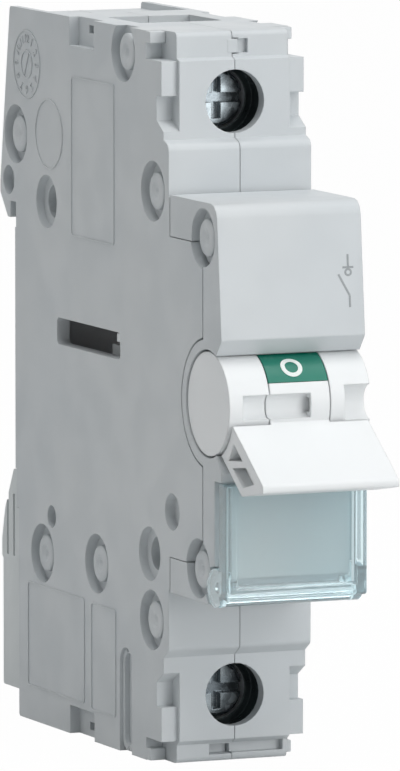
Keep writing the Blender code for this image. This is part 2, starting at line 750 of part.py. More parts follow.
def cover_outlines():
    """Return the side views of the cover's upper and lower nose blocks."""
    top = NOSE_HALF
    side_rear = -COVER_SIDE_REAR
    lip_y = -TOGGLE_DEPTH - math.sqrt(BORE_RADIUS ** 2 - BORE_LIP_HEIGHT ** 2)
    bevel_height = BORE_LIP_HEIGHT + NOSE_BEVEL_HEIGHT
    inside = BORE_LIP_HEIGHT - 1.5
    upper = rounded([
        (-COVER_REAR, top),
        (-NOSE_TOP_DEPTH, top, 1.8),
        (-NOSE_DEPTH, bevel_height, 0.3),
        (lip_y, BORE_LIP_HEIGHT),
        (side_rear, inside),
        (side_rear, COVER_UPPER_FLANGE),
        (-COVER_REAR, COVER_UPPER_FLANGE),
    ])
    rim = FLAP_TOP + SEAT_GAP
    lower = rounded([
        (side_rear, -inside),
        (lip_y, -BORE_LIP_HEIGHT),
        (-NOSE_DEPTH, -bevel_height, 0.3),
        (-NOSE_DEPTH, rim),
        (-LABEL_SEAT_DEPTH, rim),
        (-LABEL_SEAT_DEPTH, FLAP_PIVOT_HEIGHT + 0.3),
    ])
    pivot = (-FLAP_PIVOT_DEPTH, FLAP_PIVOT_HEIGHT)
    core = FLAP_FRONT_DEPTH - FLAP_PIVOT_DEPTH - FLAP_THICKNESS - SEAT_GAP
    sweep = FLAP_FRONT_DEPTH - FLAP_PIVOT_DEPTH + SEAT_GAP
    swept_to = FLAP_WRAP_END + FLAP_OPENING + 5.0
    floor_angle = 360.0 - math.degrees(math.asin((top + FLAP_PIVOT_HEIGHT) / sweep))
    lower += arc(pivot, core, 180.0, swept_to, 10)
    lower += arc(pivot, sweep, swept_to, floor_angle, 4)
    lower += [
        (-COVER_REAR, -top),
        (-COVER_REAR, COVER_LOWER_FLANGE),
        (side_rear, COVER_LOWER_FLANGE),
    ]
    return upper, lower


def cover_mouth():
    """Return the side view of the open space in front of the toggle's bearing."""
    lip_y = -TOGGLE_DEPTH - math.sqrt(BORE_RADIUS ** 2 - BORE_LIP_HEIGHT ** 2)
    bevel_height = BORE_LIP_HEIGHT + NOSE_BEVEL_HEIGHT
    far = -NOSE_DEPTH - 6.0
    return [
        (-TOGGLE_DEPTH - 1.0, -BORE_LIP_HEIGHT),
        (lip_y, -BORE_LIP_HEIGHT),
        (-NOSE_DEPTH, -bevel_height),
        (far, -bevel_height),
        (far, bevel_height),
        (-NOSE_DEPTH, bevel_height),
        (lip_y, BORE_LIP_HEIGHT),
        (-TOGGLE_DEPTH - 1.0, BORE_LIP_HEIGHT),
    ]


def build_front_cover(plastic):
    """Build the one-piece nose cover with its round toggle bearing."""
    upper, lower = cover_outlines()
    cover = prism(upper, "X", -HALF_WIDTH, HALF_WIDTH)
    ring = cylinder(
        "X", TOGGLE_AXIS, 2 * RING_RADIUS, -HALF_WIDTH, HALF_WIDTH, LARGE_ROUND_STEPS
    )
    outer = HALF_WIDTH + 1.0
    cut(ring, prism(cover_mouth(), "X", -outer, outer))
    add(cover, prism(lower, "X", -HALF_WIDTH, HALF_WIDTH), ring)
    cut(cover, cylinder("X", TOGGLE_AXIS, 2 * BORE_RADIUS, -outer, outer, LARGE_ROUND_STEPS))
    cut(cover, prism(cover_mouth(), "X", -outer, outer))

    inner = HALF_WIDTH - SIDE_WALL
    shelf = BORE_LIP_HEIGHT + 2.2
    roof = NOSE_HALF - FRONT_WALL + 0.1
    front = -NOSE_TOP_DEPTH + FRONT_WALL
    label_front = -FLAP_PIVOT_DEPTH + FLAP_FRONT_DEPTH - FLAP_PIVOT_DEPTH + FRONT_WALL
    cut(cover, box((-inner, inner), (front, -COVER_REAR + 1.0), (shelf, roof)))
    cut(cover, box((-inner, inner), (label_front, -COVER_REAR + 1.0), (-roof, -shelf)))
    middle = BARREL_WIDTH / 2 + SEAT_GAP / 2
    cut(cover, box((-middle, middle), (lip_back(), -COVER_REAR), (-shelf - 0.4, shelf + 0.4)))

    lobe_inner = RIVET_FLOOR - NOSE_LOBE_THICKNESS
    for place in NOSE_RIVET_PLACES.values():
        centre = (-place[0], place[1])
        boss = NOSE_BOSS_DIAMETER + 2 * SEAT_GAP
        cut(cover, cylinder("X", centre, boss, -lobe_inner + 0.1, lobe_inner - 0.1))
        lobe = RIVET_RECESS_DIAMETER - 2 * SEAT_GAP + 0.1
        add(cover, *both_sides(
            lambda a, b, c=centre, d=lobe: cylinder("X", c, d, a, b), lobe_inner, RIVET_FLOOR
        ))
        recess = RIVET_RECESS_DIAMETER - 0.3
        cut(cover, *both_sides(
            lambda a, b, c=centre, d=recess: cylinder("X", c, d, a, b), RIVET_FLOOR, outer
        ))
        bore = RIVET_SHANK_DIAMETER + 2 * SEAT_GAP
        cut(cover, cylinder("X", centre, bore, -outer, outer, 16))

    ear = FLAP_EAR_THICKNESS + FLAP_SIDE_INSET + SEAT_GAP
    ear_outline = ear_pocket_outline()
    cut(cover, *both_sides(
        lambda a, b: prism(ear_outline, "X", a, b), HALF_WIDTH - ear, outer
    ))
    pivot = (-FLAP_PIVOT_DEPTH, FLAP_PIVOT_HEIGHT)
    hole = FLAP_PIN_DIAMETER + 0.3
    cut(cover, *both_sides(
        lambda a, b: cylinder("X", pivot, hole, a, b, 12), HALF_WIDTH - ear - 1.2, outer
    ))
    finish(cover, "front_cover", plastic)


def lip_back():
    """Return how far back the cover's mouth stays full thickness."""
    return -TOGGLE_DEPTH - 1.6


def ear_pocket_outline():
    """Return the round pocket in the cover's sides in which the label flap's ear turns."""
    radius = FLAP_FRONT_DEPTH - FLAP_PIVOT_DEPTH + SEAT_GAP
    return circle((-FLAP_PIVOT_DEPTH, FLAP_PIVOT_HEIGHT), radius, 32)


def rivet(name, place, floor, metal):
    """Build one tubular rivet with a dimpled head at both sides."""
    head = RIVET_HEAD_DIAMETER / 2
    shank = RIVET_SHANK_DIAMETER / 2
    dimple = RIVET_DIMPLE_DIAMETER / 2
    seat = floor + SEAT_GAP
    top = seat + RIVET_HEAD_HEIGHT
    end = [
        (top - RIVET_DIMPLE_DEPTH, 0.0),
        (top, dimple),
        (top, head - 0.3),
        (top - 0.3, head),
        (seat, head),
        (seat, shank),
    ]
    mirror = [(-along, radius) for along, radius in reversed(end)]
    place_matrix = Matrix.Translation(Vector((0.0, -place[0], place[1])) * MM)
    place_matrix @= Matrix.Rotation(math.radians(90), 4, "Y")
    item = turned(end + mirror, SMALL_ROUND_STEPS, place_matrix)
    return finish(item, name, metal)


def build_rivets(metal):
    """Build every rivet that clamps the halves and the cover."""
    for name, place in {**RIVET_PLACES, **NOSE_RIVET_PLACES}.items():
        rivet("rivet_" + name, place, RIVET_FLOOR, metal)


def sector(inner_radius, outer_radius, start, end, half_width, steps=32):
    """Return a round wall segment on the toggle, at the axis, angles from the handle."""
    outside = arc((0.0, 0.0), outer_radius, 180.0 - start, 180.0 - end, steps)
    inside = arc((0.0, 0.0), inner_radius, 180.0 - end, 180.0 - start, steps)
    return prism(outside + inside, "X", -half_width, half_width)


def handle_point(reach, height):
    """Return a toggle point before it is tilted, from its reach along the handle."""
    return (-reach, height)


def build_handle():
    """Build the handle before it is tilted: a plate on hollow, ribbed side walls."""
    tip_bottom = HANDLE_TOP - 0.7
    outline = rounded([
        (*handle_point(4.8, HANDLE_TOP),),
        (*handle_point(4.8, HANDLE_BOTTOM),),
        (*handle_point(HANDLE_UNDERSIDE_REACH, HANDLE_BOTTOM), 0.5),
        (*handle_point(HANDLE_REACH + 0.5, tip_bottom), 0.3),
        (*handle_point(HANDLE_REACH, HANDLE_TOP), 0.5),
    ])
    half = HANDLE_WIDTH / 2
    handle = prism(outline, "X", -half, half)
    clear = 2 * (TOGGLE_RADIUS + SLIDE_GAP)
    barrel_half = BARREL_WIDTH / 2
    cut(handle, *both_sides(
        lambda a, b: cylinder("X", (0.0, 0.0), clear, a, b, LARGE_ROUND_STEPS),
        barrel_half,
        half + 1.0,
    ))
    top = HANDLE_TOP - 1.4
    bottom = HANDLE_BOTTOM + 0.9
    pockets = [
        [handle_point(7.3, top), handle_point(10.3, top), handle_point(7.3, bottom)],
        [
            handle_point(11.4, top),
            handle_point(14.2, top),
            handle_point(12.0, bottom),
            handle_point(8.6, bottom),
        ],
    ]
    for pocket in pockets:
        cut(handle, *both_sides(
            lambda a, b, p=pocket: prism(p, "X", a, b), half - HANDLE_POCKET_DEPTH, half + 1.0
        ))
    return handle


def build_toggle(plastic, green, red):
    """Build the toggle's barrel and handle, its two colour fields and the crank pin."""
    half = BARREL_WIDTH / 2
    tilt = Matrix.Translation(Vector((0.0, *TOGGLE_AXIS)) * MM)
    tilt @= Matrix.Rotation(math.radians(-HANDLE_REST_ANGLE), 4, "X")
    toggle = cylinder("X", (0.0, 0.0), 2 * TOGGLE_RADIUS, -half, half, LARGE_ROUND_STEPS)
    hollow = half - BARREL_WEB
    cut(toggle, cylinder("X", (0.0, 0.0), 2 * BARREL_INNER_RADIUS, -hollow, hollow, 32))
    far = 2 * TOGGLE_RADIUS
    rear = arc((0.0, 0.0), far, 180.0 - BARREL_LOWER_EDGE - 360.0, 180.0 - BARREL_UPPER_EDGE, 4)
    cut(toggle, prism([(0.0, 0.0), *rear], "X", -hollow, hollow))
    add(toggle, build_handle())
    pocket_floor = TOGGLE_RADIUS - INDICATOR_THICKNESS - 0.1
    fields = {"off_indicator": (1, green), "on_indicator": (-1, red)}
    joint = joint_empty("toggle_axis", (0.0, *TOGGLE_AXIS))
    for name, (way, colour) in fields.items():
        edge = BARREL_UPPER_EDGE if way > 0 else BARREL_LOWER_EDGE
        start, end = sorted((way * INDICATOR_FROM, edge - way * 1.5))
        cut(toggle, sector(
            pocket_floor, TOGGLE_RADIUS + 1.0, start - 0.6, end + 0.6, half + 1.0, 12
        ))
        plate = sector(
            pocket_floor + 0.1, TOGGLE_RADIUS, start, end, half, 12
        )
        plate.data.transform(tilt)
        finish(plate, name, colour, joint)
    crank = math.radians(180.0 - CRANK_REST_ANGLE + HANDLE_REST_ANGLE)
    pin = (CRANK_RADIUS * math.cos(crank), CRANK_RADIUS * math.sin(crank))
    add(toggle, cylinder("X", pin, CRANK_PIN_DIAMETER, -half + 0.4, half - 0.4, 16))
    reach = half + TRUNNION_LENGTH
    add(toggle, *both_sides(
        lambda a, b: cylinder("X", (0.0, 0.0), TRUNNION_DIAMETER, a, b, 20), half - 0.5, reach
    ))
    toggle.data.transform(tilt)
    for tool in tie_tools():
        cut(toggle, tool)
    finish(toggle, "toggle", plastic, joint)
    return joint


def tie_tools():
    """Return the cuts of the cable-tie groove, its tunnel and its scoop."""
    surface = -TOGGLE_DEPTH - TOGGLE_RADIUS
    floor = surface + TIE_GROOVE_DEPTH
    half = TIE_GROOVE_HEIGHT / 2
    groove = rounded([
        (surface - 2.0, -half),
        (floor, -half, 0.9),
        (floor, half, 0.9),
        (surface - 2.0, half),
    ])
    tunnel_y = (surface + TIE_TUNNEL_ROOF, floor)
    tunnel_z = (-TIE_TUNNEL_HEIGHT / 2, TIE_TUNNEL_HEIGHT / 2)
    return [
        prism(groove, "X", *TIE_GROOVE_SPAN),
        prism(groove, "X", *TIE_SCOOP_SPAN),
        box((TIE_GROOVE_SPAN[1] - 0.3, TIE_SCOOP_SPAN[0] + 0.3), tunnel_y, tunnel_z),
    ]


def build_cheeks(plastic):
    """Build the two fixed cheeks that carry the toggle's trunnions."""
    inner = BARREL_WIDTH / 2 + SEAT_GAP
    outer = HALF_WIDTH - CHEEK_INSET
    socket = TRUNNION_DIAMETER + 0.3
    socket_end = BARREL_WIDTH / 2 + TRUNNION_LENGTH + SEAT_GAP
    right = cylinder("X", TOGGLE_AXIS, 2 * TOGGLE_RADIUS, inner, outer, LARGE_ROUND_STEPS)
    cut(right, cylinder("X", TOGGLE_AXIS, socket, inner - 1.0, socket_end, 20))
    left = mirrored_x(right)
    for cheek in (left, right):
        cut(cheek, *tie_tools())
    finish(left, "bearing_cheek_left", plastic)
    finish(right, "bearing_cheek_right", plastic)


def crank_place(turn):
    """Return the crank pin's (y, z) when the toggle has turned by an angle."""
    angle = math.radians(CRANK_REST_ANGLE + turn)
    return (-TOGGLE_DEPTH - CRANK_RADIUS * math.cos(angle), CRANK_RADIUS * math.sin(angle))


def carrier_pin_depth(turn):
    """Return the carrier pin's y for a link that fits exactly at an angle."""
    y, z = crank_place(turn)
    return y + math.sqrt(LINK_LENGTH ** 2 - (z - CARRIER_PIN_HEIGHT) ** 2)


def link_slope(turn):
    """Return the link's slope in radians, front end up, at a toggle angle."""
    return math.asin((crank_place(turn)[1] - CARRIER_PIN_HEIGHT) / LINK_LENGTH)


def link_error():
    """Return half of the mid-travel error of an evenly geared link, as (y, z)."""
    middle = TOGGLE_TRAVEL / 2
    even_y = (carrier_pin_depth(0.0) + carrier_pin_depth(TOGGLE_TRAVEL)) / 2
    even_slope = (link_slope(0.0) + link_slope(TOGGLE_TRAVEL)) / 2
    y, z = crank_place(middle)
    eye = (y + LINK_LENGTH * math.cos(even_slope), z - LINK_LENGTH * math.sin(even_slope))
    return ((eye[0] - even_y) / 2, (eye[1] - CARRIER_PIN_HEIGHT) / 2)


def build_link(steel, toggle_joint):
    """Build the flat link between the crank pin and the carrier, with a slack rear eye."""
    front = crank_place(0.0)
    error = link_error()
    rear = (carrier_pin_depth(0.0) - error[0], CARRIER_PIN_HEIGHT - error[1])
    half = LINK_THICKNESS / 2
    along = (Vector(rear) - Vector(front)).normalized()
    across = Vector((-along.y, along.x)) * (LINK_BAR_HEIGHT / 2)
    ends = [Vector(front) + across, Vector(rear) + across, Vector(rear) - across, Vector(front) - across]
    link = prism([tuple(point) for point in ends], "X", -half, half)
    rear_hole = CRANK_PIN_DIAMETER + 2 * LINK_SLACK + 0.3
    add(link, cylinder("X", front, LINK_EYE_DIAMETER, -half, half, 20))
    add(link, cylinder("X", rear, rear_hole + 1.6, -half, half, 24))
    cut(link, cylinder("X", front, CRANK_PIN_DIAMETER + 0.3, -1.0, 1.0, 16))
    cut(link, cylinder("X", rear, rear_hole, -1.0, 1.0, 20))
    joint = joint_empty("link_pivot", (0.0, *front), toggle_joint)
    finish(link, "link", steel, joint)


def build_carrier(plastic, copper, silver, steel):
    """Build the sliding contact carrier with its coupling lugs, bridge and spring."""
    travel = carrier_pin_depth(TOGGLE_TRAVEL) - carrier_pin_depth(0.0)
    tip_front = -CONTACT_DEPTH - STRIP_THICKNESS / 2 - SEAT_GAP - CONTACT_TIP_THICKNESS
    bridge_tip_rear = tip_front - SEAT_GAP - travel
    bridge_rear = bridge_tip_rear - CONTACT_TIP_THICKNESS - SEAT_GAP
    bridge_front = bridge_rear - BRIDGE_THICKNESS
    spring_rear = bridge_front - SEAT_GAP
    spring_front = spring_rear - SPRING_LENGTH
    body_front = spring_front - SEAT_GAP - CARRIER_WALL
    body_rear = bridge_rear + SEAT_GAP + CARRIER_WALL
    half = CARRIER_WIDTH / 2
    tall = CARRIER_HEIGHT / 2
    joint = joint_empty("carrier_slide", (0.0, body_rear, 0.0))

    carrier = box((-half, half), (body_front, body_rear), (-tall, tall))
    frame = half - CARRIER_WALL
    window_y = (spring_front - SEAT_GAP, bridge_rear + SEAT_GAP)
    cut(carrier, box((-frame, frame), window_y, (-tall - 1.0, tall + 1.0)))
    rib = GUIDE_RIB_HEIGHT / 2
    rib_end = HALF_WIDTH - SIDE_WALL + GUIDE_GROOVE_DEPTH - SEAT_GAP
    add(carrier, *both_sides(
        lambda a, b: box((a, b), (body_front, body_rear), (-rib, rib)), half - 0.5, rib_end
    ))

    window_front = -WINDOW_REAR - WINDOW_LENGTH
    lug_y = (window_front + 0.6, window_front + 0.6 + COUPLING_LUG_LENGTH)
    lug_top = WINDOW_BOTTOM + WINDOW_HEIGHT - SEAT_GAP
    lug_z = (WINDOW_BOTTOM + SEAT_GAP, lug_top)
    add(carrier, *both_sides(lambda a, b: box((a, b), lug_y, (0.0, lug_top)), frame, half + 0.8))
    add(carrier, *both_sides(
        lambda a, b: box((a, b), lug_y, lug_z), half + 0.5, HALF_WIDTH - COUPLING_LUG_SUNK
    ))

    pin_y = carrier_pin_depth(0.0)
    lug_inner = LINK_THICKNESS / 2 + 0.6
    ear = rounded([
        (body_front + 0.5, -tall),
        (body_front + 0.5, tall),
        (pin_y - 0.3, CARRIER_PIN_HEIGHT + 1.8, 0.8),
        (pin_y - 1.8, CARRIER_PIN_HEIGHT - 0.4, 0.8),
        (pin_y, -tall),
    ])
    add(carrier, *both_sides(lambda a, b: prism(ear, "X", a, b), lug_inner, lug_inner + 1.4))
    pin = cylinder(
        "X", (pin_y, CARRIER_PIN_HEIGHT), CRANK_PIN_DIAMETER, -lug_inner - 0.5, lug_inner + 0.5, 16
    )
    add(carrier, pin)
    finish(carrier, "contact_carrier", plastic, joint)

    reach = CONTACT_HEIGHT + CONTACT_TIP_SIZE / 2 + 0.5
    bridge_x = (-BRIDGE_WIDTH / 2, BRIDGE_WIDTH / 2)
    bridge = box(bridge_x, (bridge_front, bridge_rear), (-reach, reach))
    finish(bridge, "bridge_contact", copper, joint)
    tip = CONTACT_TIP_SIZE / 2
    for name, height in (("upper", CONTACT_HEIGHT), ("lower", -CONTACT_HEIGHT)):
        tip_z = (height - tip, height + tip)
        moving = box((-tip, tip), (bridge_tip_rear - CONTACT_TIP_THICKNESS, bridge_tip_rear), tip_z)
        finish(moving, "bridge_tip_" + name, silver, joint)
        fixed = box((-tip, tip), (tip_front, tip_front + CONTACT_TIP_THICKNESS), tip_z)
        finish(fixed, "fixed_tip_" + name, silver)
    spring = coil(
        "Y", (0.0, 0.0), SPRING_DIAMETER, SPRING_WIRE, SPRING_TURNS, spring_front, spring_rear
    )
    finish(spring, "contact_spring", steel, joint)


def build_strip(name, height, way, copper):
    """Build one bent copper strip from a terminal to its fixed contact."""
    thick = STRIP_THICKNESS
    front = -STRIP_FRONT_DEPTH
    back = -CONTACT_DEPTH + thick / 2
    level = STRIP_LEVEL * way
    end = height + way * (CAGE_HEIGHT / 2 - 0.1)
    foot = way * (CONTACT_HEIGHT - CONTACT_TIP_SIZE / 2 - 0.2)
    outline = rounded([
        (front, end),
        (front, level - way * thick / 2, 1.2),
        (back - thick, level - way * thick / 2),
        (back - thick, foot),
        (back, foot),
        (back, level + way * thick / 2, 1.2),
        (front + thick, level + way * thick / 2),
        (front + thick, end),
    ])
    strip = prism(outline, "X", -STRIP_WIDTH / 2, STRIP_WIDTH / 2)
    finish(strip, name, copper)


def build_terminal(prefix, height, zinc, steel):
    """Build one terminal's screw and clamp cage."""
    face = -SCREW_FACE_DEPTH
    seat = -SCREW_SEAT_DEPTH
    head = SCREW_HEAD_DIAMETER / 2
    thread = SCREW_THREAD_DIAMETER / 2
    end = -STRIP_FRONT_DEPTH - SLIDE_GAP
    profile = [
        (face, 0.0),
        (face, head - 0.4),
        (face + 0.4, head),
        (seat, head),
        (seat, thread),
        (end - 0.6, thread),
        (end, thread - 0.6),
        (end, 0.0),
    ]
    place = Matrix.Translation(Vector((0.0, 0.0, height)) * MM)
    place @= Matrix.Rotation(math.radians(-90), 4, "X")
    screw = turned(profile, ROUND_STEPS, place)
    slot_y = (face - 1.0, face + SCREW_SLOT_DEPTH)
    half = SCREW_SLOT_WIDTH / 2
    arm = head * 0.72
    cut(screw, box((-head - 1.0, head + 1.0), slot_y, (height - half, height + half)))
    cut(screw, box((-half, half), slot_y, (height - arm, height + arm)))
    joint = joint_empty(prefix + "_screw_axis", (0.0, seat, height))
    finish(screw, prefix + "_terminal_screw", zinc, joint)

    front_inner = end
    rear_inner = -CONDUCTOR_REAR
    inside = CAGE_WIDTH / 2 - CAGE_WALL
    tall = CAGE_HEIGHT / 2
    cage_y = (front_inner - CAGE_FRONT_WALL, rear_inner + CAGE_WALL)
    cage = box((-CAGE_WIDTH / 2, CAGE_WIDTH / 2), cage_y, (height - tall, height + tall))
    hollow_z = (height - tall - 1.0, height + tall + 1.0)
    cut(cage, box((-inside, inside), (front_inner, rear_inner), hollow_z))
    bore = SCREW_THREAD_DIAMETER + 0.3
    cut(cage, cylinder("Y", (0.0, height), bore, cage_y[0] - 1.0, front_inner + 0.5, 20))
    slide = joint_empty(prefix + "_clamp_slide", (0.0, rear_inner, height))
    finish(cage, prefix + "_clamp_cage", steel, slide)


def build_label_holder(clear, card_white):
    """Build the clear label flap with its ears and pins, and the card behind it."""
    front = -FLAP_FRONT_DEPTH
    back = front + FLAP_THICKNESS
    pivot = (-FLAP_PIVOT_DEPTH, FLAP_PIVOT_HEIGHT)
    outer = FLAP_FRONT_DEPTH - FLAP_PIVOT_DEPTH
    inner = outer - FLAP_THICKNESS
    half = HALF_WIDTH - FLAP_SIDE_INSET
    profile = [(back, FLAP_TOP), (front, FLAP_TOP)]
    profile += arc(pivot, outer, 180.0, FLAP_WRAP_END, 8)
    profile += arc(pivot, inner, FLAP_WRAP_END, 180.0, 6)
    flap = prism(profile, "X", -half, half)
    add(flap, *both_sides(
        lambda a, b: cylinder("X", pivot, 2 * outer, a, b, 32), half - FLAP_EAR_THICKNESS, half
    ))
    pin_inner = half - FLAP_EAR_THICKNESS - 1.0
    add(flap, *both_sides(
        lambda a, b: cylinder("X", pivot, FLAP_PIN_DIAMETER, a, b, 12), pin_inner, half - 0.5
    ))
    joint = joint_empty("label_flap_axis", (0.0, *pivot))
    finish(flap, "label_flap", clear, joint)

    card_front = -LABEL_SEAT_DEPTH - SEAT_GAP - CARD_THICKNESS
    card_y = (card_front, card_front + CARD_THICKNESS)
    card_top = FLAP_TOP - 0.5
    card = box((-CARD_WIDTH / 2, CARD_WIDTH / 2), card_y, (card_top - CARD_HEIGHT, card_top))
    finish(card, "label_card", card_white)


def build_rail_clip(plastic, steel):
    """Build the sliding rail clip with its guide, and the spring that lifts it."""
    front = -CLIP_SETBACK + SEAT_GAP
    lip_front = RAIL_THICKNESS + SEAT_GAP
    shelf = -RAIL_HEIGHT / 2 - 0.8
    outline = rounded([
        (front, CLIP_BOTTOM, 0.4),
        (front, shelf),
        (lip_front, shelf),
        (lip_front, CLIP_TOP, 0.35),
        (lip_front + 1.1, CLIP_TOP, 0.5),
        (CLIP_REACH - 0.9, CLIP_TOP - 5.0, 3.0),
        (CLIP_REACH, CLIP_RAMP_FOOT, 1.0),
        (CLIP_REACH, CLIP_RAMP_FOOT - 2.0),
        (CLIP_REACH - 0.35, CLIP_RAMP_FOOT - 2.3),
        (CLIP_REACH - 0.35, CLIP_BOTTOM, 0.4),
    ])
    half = CLIP_WIDTH / 2
    clip = prism(outline, "X", -half, half)
    neck_end = front - CLIP_NECK_LENGTH
    guide_z = (CLIP_GUIDE_BOTTOM, CLIP_GUIDE_TOP)
    neck = CLIP_NECK_WIDTH / 2
    head = CLIP_HEAD_WIDTH / 2
    add(clip, box((-neck, neck), (neck_end - 0.2, front + 0.5), guide_z))
    add(clip, box((-head, head), (CLIP_HEAD_FRONT + SEAT_GAP, neck_end), guide_z))
    groove_z = (CLIP_RAMP_FOOT - 1.7, CLIP_TOP - 3.0)
    for groove_y in (2.1, 4.0):
        cut(clip, *both_sides(
            lambda a, b, y=groove_y: box((a, b), (y, y + 0.5), groove_z), half - 1.0, half + 1.0
        ))
    eye = CLIP_EYE_WIDTH / 2
    eye_z = (CLIP_BOTTOM + 1.4, CLIP_BOTTOM + 1.4 + CLIP_EYE_HEIGHT)
    cut(clip, box((-eye, eye), (2.2, CLIP_REACH + 1.0), eye_z))
    joint = joint_empty("rail_clip_slide", (0.0, 0.0, CLIP_TOP))
    finish(clip, "rail_clip", plastic, joint)

    spring = coil(
        "Z",
        (0.0, CLIP_HEAD_FRONT + CLIP_SPRING_DIAMETER / 2),
        CLIP_SPRING_DIAMETER,
        CLIP_SPRING_WIRE,
        CLIP_SPRING_TURNS,
        CLIP_SLOT_BOTTOM + SEAT_GAP,
        CLIP_GUIDE_BOTTOM - SEAT_GAP,
    )
    finish(spring, "rail_clip_spring", steel)


def main():
    """Clear the scene and build every piece."""
    for item in list(bpy.data.objects):
        bpy.data.objects.remove(item)
    shell = make_material("housing_grey", rgba(196, 200, 202), 0.5)
    white = make_material("toggle_white", rgba(232, 233, 235), 0.42)
    pale = make_material("clip_grey", rgba(203, 208, 209), 0.5)
    green = make_material("field_green", rgba(14, 122, 100), 0.4)
    red = make_material("field_red", rgba(196, 38, 36), 0.4)
    clear = make_material("clear_polycarbonate", rgba(214, 236, 240), 0.08, 0.0, 0.9)
    card_white = make_material("card_white", rgba(205, 218, 221), 0.7)
    zinc = make_material("zinc_plated_steel", rgba(120, 132, 136), 0.32, 1.0)
    dark_steel = make_material("cage_steel", rgba(96, 106, 110), 0.4, 1.0)
    copper = make_material("strip_copper", rgba(190, 120, 84), 0.35, 1.0)
    silver = make_material("contact_silver", rgba(205, 205, 200), 0.25, 1.0)

    build_housing(shell)
    build_front_cover(shell)
    build_rivets(make_material("rivet_grey", rgba(178, 184, 186), 0.4, 0.2))
    build_cheeks(white)
    toggle_joint = build_toggle(white, green, red)
    build_link(zinc, toggle_joint)
    build_carrier(pale, copper, silver, zinc)
    build_strip("upper_strip", UPPER_TERMINAL_HEIGHT, 1, copper)
    build_strip("lower_strip", LOWER_TERMINAL_HEIGHT, -1, copper)
    build_terminal("upper", UPPER_TERMINAL_HEIGHT, zinc, dark_steel)
    build_terminal("lower", LOWER_TERMINAL_HEIGHT, zinc, dark_steel)
    build_label_holder(clear, card_white)
    build_rail_clip(pale, zinc)


main()
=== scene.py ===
"""Dresses the one-module rail switch disconnector: finishes, printed and moulded marks, studio.

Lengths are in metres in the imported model's frame: X runs across the module, the front
faces -Y and Z is up. The rail seat is at Y = 0 and its centre line at Z = 0. Sizes that a
Form or a rod takes are in millimetres.
"""

import json
import logging
import math
from collections.abc import Callable
from dataclasses import dataclass, field
from enum import Enum

import bpy
from mathutils import Euler, Matrix, Vector

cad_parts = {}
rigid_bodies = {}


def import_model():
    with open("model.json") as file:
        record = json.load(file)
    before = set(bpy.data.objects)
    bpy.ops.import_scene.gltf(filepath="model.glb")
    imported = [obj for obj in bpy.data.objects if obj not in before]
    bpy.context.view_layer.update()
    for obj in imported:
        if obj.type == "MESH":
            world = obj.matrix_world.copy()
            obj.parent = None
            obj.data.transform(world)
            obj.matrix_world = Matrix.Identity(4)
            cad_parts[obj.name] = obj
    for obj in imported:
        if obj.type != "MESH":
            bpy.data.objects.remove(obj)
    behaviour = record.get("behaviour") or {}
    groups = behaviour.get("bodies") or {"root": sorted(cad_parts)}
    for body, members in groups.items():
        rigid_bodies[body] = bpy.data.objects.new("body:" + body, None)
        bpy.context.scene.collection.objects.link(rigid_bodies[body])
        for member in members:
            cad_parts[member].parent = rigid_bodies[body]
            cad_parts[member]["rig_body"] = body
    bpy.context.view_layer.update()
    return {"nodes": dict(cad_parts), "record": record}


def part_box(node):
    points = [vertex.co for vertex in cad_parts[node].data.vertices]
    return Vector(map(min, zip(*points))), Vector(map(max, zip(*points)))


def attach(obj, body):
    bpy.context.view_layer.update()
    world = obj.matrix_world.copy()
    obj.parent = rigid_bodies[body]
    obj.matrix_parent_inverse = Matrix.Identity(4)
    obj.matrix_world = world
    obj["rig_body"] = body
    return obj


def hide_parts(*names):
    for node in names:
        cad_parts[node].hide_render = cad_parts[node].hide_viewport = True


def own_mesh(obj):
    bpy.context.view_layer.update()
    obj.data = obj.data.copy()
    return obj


MM = 0.001
TOUCH = 0.01 * MM
ROUND_SIDES = 48
SCREW_LEVELS = (32.6, -34.85)
LOG = logging.getLogger("switch_disconnector")

Colour = tuple[float, float, float]
Place = tuple[float, float, float]
Span = tuple[float, float]
Spot = tuple[float, float]
Piece = bpy.types.Object
Socket = bpy.types.NodeSocket
Shaping = Callable[[Piece], None]


class Slot(str, Enum):
    """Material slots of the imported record, by what they cover."""

    HOUSING = "housing_grey"
    TOGGLE = "toggle_white"
    CLIP = "clip_grey"
    OFF_FIELD = "field_green"
    ON_FIELD = "field_red"
    CLEAR = "clear_polycarbonate"
    CARD = "card_white"
    RIVET = "rivet_grey"
    SCREW = "zinc_plated_steel"
    CAGE = "cage_steel"
    COPPER = "strip_copper"
    SILVER = "contact_silver"


class Ink(str, Enum):
    """Finishes that only pieces of this script carry."""

    WHITE = "inlay_white"
    # finish of the dark sleeve in the screw wells: painted shade
    DARK = "sleeve_dark"
    GREY = "print_grey"


class Side(Enum):
    """The two broad side faces, by the way they face along X."""

    LEFT = -1
    RIGHT = 1


class Axis(Enum):
    """The axes that a rod lies along, with the turn that lays it there."""

    X = (0.0, math.pi / 2, 0.0)
    Y = (math.pi / 2, 0.0, 0.0)


def linear(red: float, green: float, blue: float) -> Colour:
    """Turn a display colour into a linear one.

    Args:
        red: Red from 0 to 255.
        green: Green from 0 to 255.
        blue: Blue from 0 to 255.

    Returns:
        The same colour in linear light, from 0 to 1.
    """

    def channel(value: float) -> float:
        """Return one channel in linear light."""
        share = value / 255.0
        return share / 12.92 if share <= 0.04045 else ((share + 0.055) / 1.055) ** 2.4

    return channel(red), channel(green), channel(blue)


def rgba(colour: Colour) -> tuple[float, float, float, float]:
    """Return an opaque colour for a node socket."""
    return colour[0], colour[1], colour[2], 1.0


